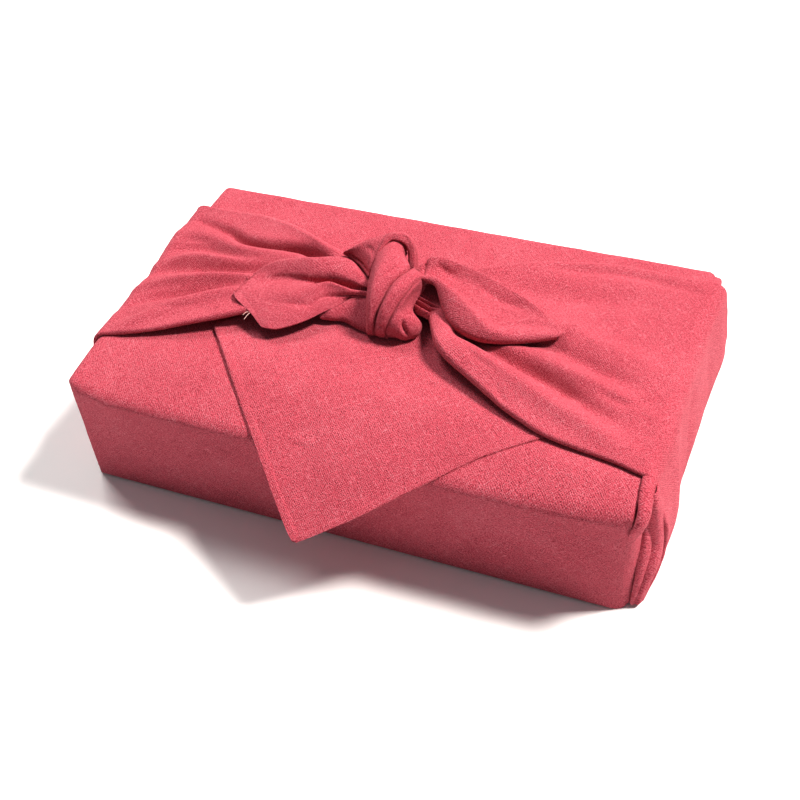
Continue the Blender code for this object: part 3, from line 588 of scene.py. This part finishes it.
def add_piece(name, points, flat, held=None, material=None):
    """Add a grid, put its points on the surface and keep its flat places as UVs. Cloth gets its thickness."""
    along, across = points.shape[0] - 1, points.shape[1] - 1
    bpy.ops.object.select_all(action="DESELECT")
    bpy.ops.mesh.primitive_grid_add(x_subdivisions=across, y_subdivisions=along, size=1.0)
    piece = bpy.context.active_object
    piece.name = name
    mesh = piece.data
    mesh.name = name
    corners = np.empty(len(mesh.vertices) * 3)
    mesh.vertices.foreach_get("co", corners)
    corners = corners.reshape(-1, 3)
    columns = np.rint((corners[:, 0] + 0.5) * across).astype(int)
    rows = np.rint((corners[:, 1] + 0.5) * along).astype(int)
    mesh.vertices.foreach_set("co", (points[rows, columns] * MM).ravel())
    owners = np.empty(len(mesh.loops), int)
    mesh.loops.foreach_get("vertex_index", owners)
    mesh.uv_layers.active.data.foreach_set("uv", (flat[rows, columns][owners] * MM).ravel())
    mesh.update()
    if held:
        solid = piece.modifiers.new("cloth thickness", "SOLIDIFY")
        solid.thickness = bpy.context.scene.furoshiki_cloth.thickness
        solid.offset = -1.0
        bpy.ops.object.modifier_apply(modifier=solid.name)
    bpy.ops.object.shade_smooth()
    mesh.materials.append(material or cotton())
    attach(piece, BODY)
    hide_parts(NODE)
    return piece


def over_top(points, parcel):
    """Points whose heights are from the parcel's top, with heights from the floor."""
    return points + np.array((0, 0, parcel.height / MM))


def add_node(tree, kind, settings=None, links=None):
    """Add a node; settings are its attributes or sockets, and links go from an output to a socket."""
    node = tree.nodes.new(kind)
    for name, value in (settings or {}).items():
        if isinstance(name, str) and hasattr(node, name):
            setattr(node, name, value)
        else:
            node.inputs[name].default_value = value
    for name, source in (links or {}).items():
        tree.links.new(source, node.inputs[name])
    return node


def cotton():
    """Slub cotton: a coarse plain weave of uneven threads, dyed in the piece, soft and a little fuzzy."""
    name = "slub cotton, plain weave"
    if name in bpy.data.materials:
        return bpy.data.materials[name]
    cloth = bpy.context.scene.furoshiki_cloth
    material = bpy.data.materials.new(name)
    material.use_nodes = True
    tree = material.node_tree
    tree.nodes.clear()

    def node(kind, settings=None, links=None, output=0):
        return add_node(tree, kind, settings, links).outputs[output]

    def chance(where, scale, detail, roughness=0.5, output="Fac"):
        settings = {"Scale": scale, "Detail": detail, "Roughness": roughness}
        return node("ShaderNodeTexNoise", settings, {"Vector": where}, output)

    def maths(operation, *values):
        settings = {place: value for place, value in enumerate(values) if isinstance(value, float)}
        links = {place: value for place, value in enumerate(values) if place not in settings}
        return node("ShaderNodeMath", {"operation": operation, **settings}, links)

    # The square is laid cornerwise, so its threads run at 45 degrees to the parcel, and they wander a little.
    wander = 0.0008
    uv = node("ShaderNodeUVMap")
    turned = node("ShaderNodeMapping", {"Rotation": (0, 0, math.radians(45))}, {"Vector": uv})
    shift = node(
        "ShaderNodeVectorMath", {"operation": "MULTIPLY_ADD", 1: (2 * wander,) * 3, 2: (-wander,) * 3},
        {0: chance(turned, 160.0, 2.0, output="Color")},
    )
    placed = node("ShaderNodeVectorMath", {"operation": "ADD"}, {0: turned, 1: shift})
    threads = node("ShaderNodeVectorMath", {"operation": "SCALE", "Scale": 1 / cloth.thread}, {0: placed})
    sides = [node("ShaderNodeSeparateXYZ", None, {0: threads}, axis) for axis in ("X", "Y")]

    # Each crossing of two threads is a small mound.
    crossing = maths("MULTIPLY", *(maths("SINE", maths("MULTIPLY", side, math.pi)) for side in sides))
    mound = maths("POWER", maths("ABSOLUTE", crossing), 0.5)
    warp_up = maths("GREATER_THAN", crossing, 0.0)

    # Threads are thick and thin along their length, and no two are alike.
    slubs = []
    for stretch in ((1.0, 0.06, 1.0), (0.06, 1.0, 1.0)):
        run = node("ShaderNodeMapping", {"Scale": stretch}, {"Vector": threads})
        slubs.append(chance(run, 1.0, 3.0, 0.6))
    thread = node("ShaderNodeMix", {"data_type": "FLOAT"}, {"Factor": warp_up, "A": slubs[1], "B": slubs[0]})
    either = maths("MAXIMUM", *slubs)
    slub = node("ShaderNodeMapRange", {"From Min": 0.62, "From Max": 0.84, "To Max": 0.25}, {"Value": either})
    grain = chance(threads, 1.3, 2.0, 0.6)
    patchy = chance(uv, 22.0, 3.0)

    # Colour: deep between the threads, pale where a thick thread stands up. The mounds' share of the tone is
    # painted shade between the threads and painted light on their crossings.
    tone = slub
    # the mound term here paints shade into the hollows of the weave; thread, grain and patchy are the cloth's
    # own uneven tone
    for part, weight in ((thread, 0.3), (grain, 1.0), (mound, 0.2), (patchy, 0.2)):
        tone = maths("MULTIPLY_ADD", part, weight, tone)
    tone = node("ShaderNodeMapRange", {"From Min": 0.60, "From Max": 1.12}, {"Value": tone})
    ramp = add_node(tree, "ShaderNodeValToRGB", links={0: tone})
    stops = ramp.color_ramp.elements
    stops[0].color = cloth.deep
    stops[1].color = cloth.pale
    stops.new(0.5).color = cloth.colour

    # Relief: the mounds, the thick threads and the grain of the yarn catch the light; the fuzz softens it.
    height = maths("MULTIPLY_ADD", mound, 0.6, slub)
    height = maths("MULTIPLY_ADD", grain, 2.2, height)
    bump = node("ShaderNodeBump", {"Strength": 0.8, "Distance": 0.0004}, {"Height": height})
    shader = node(
        "ShaderNodeBsdfPrincipled",
        {"Roughness": 0.88, "Specular IOR Level": 0.25, "Sheen Weight": 0.12, "Sheen Roughness": 0.5,
         "Sheen Tint": linear("FFB3B8")},
        {"Base Color": ramp.outputs[0], "Normal": bump},
    )
    add_node(tree, "ShaderNodeOutputMaterial", links={0: shader})
    return material


def plain(name, colour, roughness):
    """A material of one colour."""
    material = bpy.data.materials.new(name)
    material.use_nodes = True
    shader = material.node_tree.nodes["Principled BSDF"]
    shader.inputs["Base Color"].default_value = colour
    shader.inputs["Roughness"].default_value = roughness
    return material


# The parcel.


def steps(spans):
    """Places along spans of (start, end, count) that follow on from each other."""
    places = [np.linspace(start, end, count, endpoint=False) for start, end, count in spans]
    return np.append(np.concatenate(places), spans[-1][1])


def parcel_points(parcel):
    """The cloth round the parcel: columns round its girth, rows from an opening in one end to the other."""
    length, depth, height, edge, foot = in_mm(parcel, "length", "depth", "height", "edge", "foot")
    flat_end = length / 2 - edge
    turned = flat_end + math.pi / 2 * edge
    # Spans along the parcel, and the faces in each: turned in, round the edge, along the top and so on.
    reach = steps((
        (-turned - TURNED_IN, -turned, 9), (-turned, -flat_end, 6), (-flat_end, flat_end, 136),
        (flat_end, turned, 6), (turned, turned + TURNED_IN, 9),
    ))
    turn = np.clip((np.abs(reach) - flat_end) / edge, 0, math.pi / 2)
    x = np.sign(reach) * (np.minimum(np.abs(reach), flat_end) + edge * np.sin(turn))
    inset = edge * (1 - np.cos(turn)) + np.maximum(np.abs(reach) - turned, 0)

    # The girth's corners: side, at the top or not, radius, and faces round it and along the run after it.
    corners = (
        (1, False, foot, 5, 26), (1, True, edge, 6, 66), (-1, True, edge, 6, 34), (-1, False, foot, 5, 26),
    )
    arcs, rounds = [], []
    distance = depth / 2 - foot
    for index, (side, at_top, radius, faces, _) in enumerate(corners):
        bent = np.linspace(0, math.pi / 2, faces + 1)
        angles = bent + math.pi / 2 * (index - 1)
        centre = np.maximum(radius, inset)[:, None]
        bend = np.maximum(radius - inset, 0)[:, None]
        y = side * (depth / 2 - centre) + bend * np.cos(angles)
        z = (height - centre if at_top else centre) + bend * np.sin(angles)
        arcs.append(np.stack([y, z], axis=2))
        rounds.append(distance + radius * bent)
        next_radius = corners[(index + 1) % len(corners)][2]
        distance = rounds[index][-1] + (depth if index % 2 else height) - radius - next_radius
    arcs.append(arcs[0][:, :1])
    rounds.append(np.array([distance]))
    section, around = [], []
    for index, corner in enumerate(corners):
        share = np.linspace(0, 1, corner[-1] + 1)[1:-1]
        section += [arcs[index], between(arcs[index][:, -1:], arcs[index + 1][:, :1], share[:, None])]
        around += [rounds[index], between(rounds[index][-1], rounds[index + 1][0], share)]
    section = np.concatenate(section + arcs[-1:], axis=1)
    around = np.concatenate(around + rounds[-1:]) - (rounds[1][-1] + rounds[2][0]) / 2
    points = np.concatenate([np.broadcast_to(x[:, None, None], (*section.shape[:2], 1)), section], axis=2)
    return points, np.stack(np.broadcast_arrays(around, reach[:, None]), axis=2)


def sagging_front(points, parcel):
    """The cloth on the top sinks towards a lower edge in front, less so at the parcel's ends."""
    depth, height, sag = in_mm(parcel, "depth", "height", "front_sag")
    x, y, z = np.moveaxis(points, 2, 0)
    near_front = np.clip(1 - (y + depth / 2) / np.interp(x, *SAG_REACH), 0, 1) ** SAG_CURVE
    share = near_front * np.interp(x, *SAG_SHARES) * np.clip(z / height, 0, 1) ** 2
    return points - share[:, :, None] * (0, SAG_OUTWARDS, sag)


def rounded_corners(points, parcel):
    """The upright corners in front are rounder towards the floor."""
    length, depth = in_mm(parcel, "length", "depth")
    moved = points.copy()
    for side, low_radius in FLOOR_RADII:
        radius = np.interp(points[..., 2], RADIUS_HEIGHTS, (low_radius, low_radius - 1, TOP_RADIUS))
        over_x = radius - (length / 2 - side * points[..., 0])
        over_y = radius - (points[..., 1] + depth / 2)
        out = np.hypot(over_x, over_y)
        share = np.where((over_x > 0) & (over_y > 0) & (out > radius), 1 - radius / np.maximum(out, 1), 0)
        moved[..., 0] -= side * over_x * share
        moved[..., 1] += over_y * share
    return moved


def bellied(points, parcel):
    """The cloth stands a little off the faces it is stretched over, away from their edges."""
    length, depth, height = in_mm(parcel, "length", "depth", "height")
    x, y, z = np.moveaxis(points, 2, 0)
    rise = np.cos(np.pi * x / length) * np.sin(np.pi * np.clip(z / height, 0, 1))
    on_face = np.clip((np.abs(y) - depth / 2) / BELLY_FADE + 1, 0, 1)
    moved = points.copy()
    moved[..., 1] += np.sign(y) * BELLY * rise * on_face
    return moved


class FUROSHIKI_OT_parcel_cloth(bpy.types.Operator):
    """Lay the cloth round the parcel."""

    bl_idname = "furoshiki.parcel_cloth"
    bl_label = "Parcel Cloth"

    def execute(self, context):
        parcel = context.scene.furoshiki_parcel
        points, flat = parcel_points(parcel)
        for shaped in (sagging_front, rounded_corners, bellied):
            points = shaped(points, parcel)
        height = folds_height(flat, PARCEL_FOLDS) + unevenness(points, 3, (0.22, 16.0), (0.1, 5.0))
        points = raised(points, height * np.clip(points[..., 2] / FADE_ABOVE_FLOOR, 0, 1))
        add_piece("parcel_cloth", points, flat, "folded")
        return {"FINISHED"}


# The flap.


def flap_points(thickness):
    """The back corner of the cloth, flat on the top and standing out past the front edge."""
    across, along, softened = 96, 120, 11
    rows = np.array(FLAP_ROWS[::-1], float)
    places = np.linspace(rows[-1, 0], rows[0, 0], along + 1)
    soften = np.hanning(softened) / np.hanning(softened).sum()
    sides = []
    for column in (1, 2):
        side = np.interp(places, rows[:, 0], rows[:, column])
        side = np.pad(side, softened // 2, mode="reflect", reflect_type="odd")
        sides.append(np.convolve(side, soften, "valid")[:, None])
    share = np.linspace(0, 1, across + 1)
    x = between(*sides, share)

    fine = np.linspace(0, FLAP_ROWS[0][0], 800)
    past = np.maximum(fine - FLAP_LIFT_OFF, 0) / FLAP_REACH
    slope = FLAP_DROP / FLAP_REACH * FLAP_BEND * past ** (FLAP_BEND - 1) * (past > 0)
    step = np.gradient(fine) / np.hypot(1, slope)
    forward = np.where(places < 0, places, np.interp(places, fine, np.cumsum(step) - step[0]))
    drop = np.interp(places, fine, np.cumsum(step * slope))
    x, y, z, along = np.broadcast_arrays(
        x, -forward[:, None], (thickness + FLAP_CLEARANCE - drop)[:, None], places[:, None]
    )
    return np.stack([x, y, z], axis=2), np.stack([x, along], axis=2), share


class FUROSHIKI_OT_flap(bpy.types.Operator):
    """Lay the back corner of the cloth over the top, standing out past the front edge."""

    bl_idname = "furoshiki.flap"
    bl_label = "Flap"

    def execute(self, context):
        points, flat, share = flap_points(*in_mm(context.scene.furoshiki_cloth, "thickness"))
        from_edge = FLAP_SLANT * np.minimum(share, 1 - share) * (flat[:, -1:, 0] - flat[:, :1, 0])
        hem = HEM_HEIGHT * (1 - np.clip((from_edge - HEM_WIDTH) / HEM_EDGE, 0, 1))
        height = folds_height(flat, FLAP_FOLDS) * np.interp(flat[..., 1], *FLAP_FOLD_SHARES)
        points = raised(points, height + hem + unevenness(points, 7, (0.15, 14.0)))
        add_piece("flap", over_top(points, context.scene.furoshiki_parcel), flat, "laid")
        return {"FINISHED"}


# The wings.


def wing_sections(rows, folds, parcel):
    """Points of a wing over the parcel's right end, and where they lie on the flat cloth."""
    height, length, edge = in_mm(parcel, "height", "length", "edge")
    table = smooth_rows(rows, np.linspace(0, 1, WING_FACES + 1))
    girth, front, back, front_roll, back_roll, front_gap, back_gap, middle = table.T[:, :, None]
    half_turn = np.linspace(0, math.pi, ROLL_FACES + 1)[None, :]
    under = np.linspace(1, 0, UNDER_FACES + 1)[None, :-1]
    across = np.linspace(0, 1, MIDDLE_FACES + 1)[None, 1:-1]
    y = [
        front + front_roll + UNDERCUT * under,
        front + front_roll * (1 - np.sin(half_turn)),
        front + front_roll + (back - front - front_roll - back_roll) * across,
        (back - back_roll * (1 - np.sin(half_turn)))[:, ::-1],
        back - back_roll - UNDERCUT * under[:, ::-1],
    ]
    front_top = front_gap + 2 * front_roll
    back_top = back_gap + 2 * back_roll
    level = between(front_top, back_top, across)
    off = [
        front_gap * (1 - UNDERCUT_SLOPE * under ** 2),
        front_gap + front_roll * (1 - np.cos(half_turn)),
        between(level, middle, np.sin(np.pi * across) ** CROWN),
        (back_gap + back_roll * (1 - np.cos(half_turn)))[:, ::-1],
        back_gap * (1 - UNDERCUT_SLOPE * under[:, ::-1] ** 2),
    ]
    y = np.concatenate(y, axis=1)
    off = np.concatenate(off, axis=1)
    rise = height - edge
    turn = edge * math.pi / 2
    reach = rise + turn + length / 2 - edge - girth

    # The folds are on the upper side only and fade out where it turns under.
    column = np.arange(y.shape[1])
    inside = np.minimum(column, column[::-1]) - (UNDER_FACES + ROLL_FACES // 2 - 1)
    places = np.stack([np.broadcast_to(reach, y.shape), y], axis=2)
    off = off + folds_height(places, folds) * np.clip(inside / (ROLL_FACES / 2), 0, 1)

    angle = np.clip((girth - rise) / edge, 0, math.pi / 2)
    x = length / 2 - edge + (edge + off) * np.cos(angle) - np.maximum(girth - rise - turn, 0)
    z = np.minimum(girth, rise) + (edge + off) * np.sin(angle)
    points = np.stack([x, y, z], axis=2)
    return points, laid_flat(points)


def add_wing(context, name, rows, folds, side, seed):
    points, flat = wing_sections(rows, folds, context.scene.furoshiki_parcel)
    if side < 0:
        points, flat = points[:, ::-1] * (-1, 1, 1), flat[:, ::-1] * (1, -1)
    points = raised(points, unevenness(points, seed, (0.25, 13.0), (0.12, 4.0)))
    points[..., 2] = np.maximum(points[..., 2], WING_FOOT)
    add_piece(name, points, flat, "gathered")


class FUROSHIKI_OT_wings(bpy.types.Operator):
    """Bring the left and right corners of the cloth up the ends and gather them to the knot."""

    bl_idname = "furoshiki.wings"
    bl_label = "Wings"

    def execute(self, context):
        add_wing(context, "right_wing", RIGHT_WING, RIGHT_WING_FOLDS, 1, 11)
        add_wing(context, "left_wing", LEFT_WING, LEFT_WING_FOLDS, -1, 13)
        return {"FINISHED"}


class FUROSHIKI_OT_corner_folds(bpy.types.Operator):
    """Gather the cloth behind the front right corner, under the wing."""

    bl_idname = "furoshiki.corner_folds"
    bl_label = "Corner Folds"

    def execute(self, context):
        add_patches(context, CORNER_PIECES, 60)
        return {"FINISHED"}


# The knot and its free ends.

# name, table, folds, faces across and along, flat width and length in metres, and how it is held
KNOT_PIECES = (
    ("knot_under_fold", UNDER_FOLD, (), 24, 40, (0.013, 0.026), "folded"),
    ("knot_pleats", PLEATS, (), 96, 60, (0.030, 0.030), "gathered"),
    ("knot_hood", HOOD, HOOD_FOLDS, 90, 100, (0.030, 0.040), "folded"),
    ("knot_lobe", LOBE, LOBE_FOLDS, 90, 100, (0.023, 0.031), "folded"),
    ("knot_band_right", BAND_RIGHT, BAND_RIGHT_FOLDS, 90, 120, (0.021, 0.038), "folded"),
    ("knot_band_left", BAND_LEFT, BAND_LEFT_FOLDS, 90, 130, (0.024, 0.055), "folded"),
)
END_PIECES = (
    ("left_end", LEFT_END, LEFT_END_FOLDS, 110, 140, (0.038, 0.073), "folded"),
    ("right_end", RIGHT_END, RIGHT_END_FOLDS, 110, 140, (0.035, 0.076), "folded"),
)
CORNER_PIECES = (
    ("corner_strip", CORNER_STRIP, (), 40, 110, (0.010, 0.045), "folded"),
    ("corner_pleat", CORNER_PLEAT, (), 48, 100, (0.018, 0.066), "gathered"),
    ("corner_tuck", CORNER_TUCK, (), 32, 60, (0.012, 0.044), "folded"),
)
MIRRORED = ("left_end", "knot_band_left", "knot_band_right", "knot_hood", "knot_lobe")


def add_patches(context, pieces, seed):
    parcel = context.scene.furoshiki_parcel
    for number, (name, table, folds, across, along, size, held) in enumerate(pieces, seed):
        points = patch(table, across, along)
        if name in MIRRORED:
            points = points[:, ::-1]
            folds = [
                (width, sharp, [(1 - over, *rest) for over, *rest in path]) for width, sharp, path in folds
            ]
        points, flat = pressed(points, folds, number)
        add_piece(name, over_top(points, parcel), flat, held)


class FUROSHIKI_OT_knot(bpy.types.Operator):
    """Tie the knot: two bands, the hood behind, the lobe and pleats at the right, the fold at the left."""

    bl_idname = "furoshiki.knot"
    bl_label = "Knot"

    def execute(self, context):
        add_patches(context, KNOT_PIECES, 20)
        return {"FINISHED"}


def pale_thread():
    """Thread that took no dye: almost white beside the cloth."""
    return plain("undyed cotton thread", linear("F2C9C2"), 0.8)


def thread_points(path):
    """A thin round thread along a path: rows along it, columns round it."""
    line = smooth_rows(path, np.linspace(0, 1, THREAD_FACES + 1))
    forward = np.gradient(line, axis=0)
    forward /= np.linalg.norm(forward, axis=1, keepdims=True)
    side = np.cross(forward, (0, 0, 1))
    side /= np.linalg.norm(side, axis=1, keepdims=True)
    up = np.cross(side, forward)
    angles = np.linspace(0, 2 * math.pi, THREAD_SIDES + 1)[None, :, None]
    ring = np.cos(angles) * side[:, None] - np.sin(angles) * up[:, None]
    return line[:, None] + THREAD_RADIUS * ring


class FUROSHIKI_OT_free_ends(bpy.types.Operator):
    """Lay the knot's two free ends along the wings, with the loose threads at a cut edge."""

    bl_idname = "furoshiki.free_ends"
    bl_label = "Free Ends"

    def execute(self, context):
        parcel = context.scene.furoshiki_parcel
        add_patches(context, END_PIECES, 40)
        material = pale_thread()
        for number, path in enumerate(LOOSE_THREADS, 1):
            points = over_top(thread_points(path), parcel)
            add_piece(f"loose_thread_{number}", points, laid_flat(points), material=material)
        return {"FINISHED"}


# The stage, in metres and degrees.

CAMERA_TARGET = (0.0041, -0.0158, 0.030)
CAMERA_AZIMUTH = 25.7712
CAMERA_ELEVATION = 43.0681
CAMERA_ROLL = -5.5335
CAMERA_DISTANCE = 0.606
CAMERA_LENS = 57.0
FLOOR_SIZE = 12.0
FLOOR_DROP = 0.0002  # so that it doesn't lie in the cloth's underside
SKY_COLOUR = (0.94, 0.97, 1.0, 1.0)
SKY_STRENGTH = 0.25
PICTURE_GAMMA = 0.86


def white_paper(colour):
    """Matt white paper: a bright even ground that shows only the parcel's soft shadow."""
    return plain("matt white paper", colour, 0.9)


class FUROSHIKI_OT_stage(bpy.types.Operator):
    """Set the floor, the lights and the camera."""

    bl_idname = "furoshiki.stage"
    bl_label = "Stage"

    def execute(self, context):
        stage = context.scene.furoshiki_stage
        bpy.ops.object.select_all(action="DESELECT")
        bpy.ops.mesh.primitive_plane_add(size=FLOOR_SIZE, location=(0, 0, -FLOOR_DROP))
        floor = context.active_object
        floor.name = "floor"
        floor.data.materials.append(white_paper(stage.floor_colour))

        world = bpy.data.worlds.new("studio")
        world.use_nodes = True
        sky = world.node_tree.nodes["Background"]
        sky.inputs["Color"].default_value = SKY_COLOUR
        sky.inputs["Strength"].default_value = SKY_STRENGTH
        context.scene.world = world
        context.scene.view_settings.view_transform = "Standard"
        context.scene.view_settings.gamma = PICTURE_GAMMA

        # name, place, length of a side, power, colour
        lights = (
            ("key light", (2.7, 1.4, 4.2), 1.0, stage.key_power, (1.0, 0.95, 0.90)),
            ("second light", (-2.4, 1.9, 3.9), 1.6, stage.second_power, (1.0, 0.96, 0.93)),
        )
        for name, place, size, power, colour in lights:
            bpy.ops.object.light_add(type="AREA", location=place)
            light = context.active_object
            light.name = name
            light.data.shape = "SQUARE"
            light.data.size = size
            light.data.energy = power
            light.data.color = colour
            light.rotation_euler = Vector(place).to_track_quat("Z", "Y").to_euler()

        azimuth, elevation, roll = map(math.radians, (CAMERA_AZIMUTH, CAMERA_ELEVATION, CAMERA_ROLL))
        right = Vector((math.cos(azimuth), math.sin(azimuth), 0))
        level = Vector((math.sin(azimuth), -math.cos(azimuth), 0))
        back = level * math.cos(elevation) + Vector((0, 0, math.sin(elevation)))
        up = back.cross(right)
        rolled_right = right * math.cos(roll) + up * math.sin(roll)
        rolled_up = up * math.cos(roll) - right * math.sin(roll)
        bpy.ops.object.camera_add()
        camera = context.active_object
        turned = Matrix((rolled_right, rolled_up, back)).transposed().to_4x4()
        camera.matrix_world = Matrix.Translation(Vector(CAMERA_TARGET) + back * CAMERA_DISTANCE) @ turned
        camera.data.lens = CAMERA_LENS
        context.scene.camera = camera
        return {"FINISHED"}


class FUROSHIKI_PT_panel(bpy.types.Panel):
    """Builds the wrap piece by piece."""

    bl_idname = "FUROSHIKI_PT_panel"
    bl_label = "Furoshiki Wrap"
    bl_space_type = "VIEW_3D"
    bl_region_type = "UI"
    bl_category = "Furoshiki"

    def draw(self, context):
        for name in ("furoshiki_parcel", "furoshiki_cloth", "furoshiki_stage"):
            box = self.layout.box()
            group = getattr(context.scene, name)
            for field in group.__annotations__:
                box.prop(group, field)
        for operator in OPERATORS:
            self.layout.operator(operator.bl_idname)


GROUPS = {
    "furoshiki_parcel": FuroshikiParcel,
    "furoshiki_cloth": FuroshikiCloth,
    "furoshiki_stage": FuroshikiStage,
}
OPERATORS = (
    FUROSHIKI_OT_stage,
    FUROSHIKI_OT_parcel_cloth,
    FUROSHIKI_OT_flap,
    FUROSHIKI_OT_wings,
    FUROSHIKI_OT_corner_folds,
    FUROSHIKI_OT_knot,
    FUROSHIKI_OT_free_ends,
)


def register():
    for cls in (*GROUPS.values(), *OPERATORS, FUROSHIKI_PT_panel):
        bpy.utils.register_class(cls)
    for name, cls in GROUPS.items():
        setattr(bpy.types.Scene, name, PointerProperty(type=cls))


def unregister():
    for name in GROUPS:
        delattr(bpy.types.Scene, name)
    for cls in (FUROSHIKI_PT_panel, *reversed(OPERATORS), *GROUPS.values()):
        bpy.utils.unregister_class(cls)


def main():
    register()
    for operator in OPERATORS:
        group, name = operator.bl_idname.split(".")
        getattr(getattr(bpy.ops, group), name)()


if __name__ == "__main__":
    main()
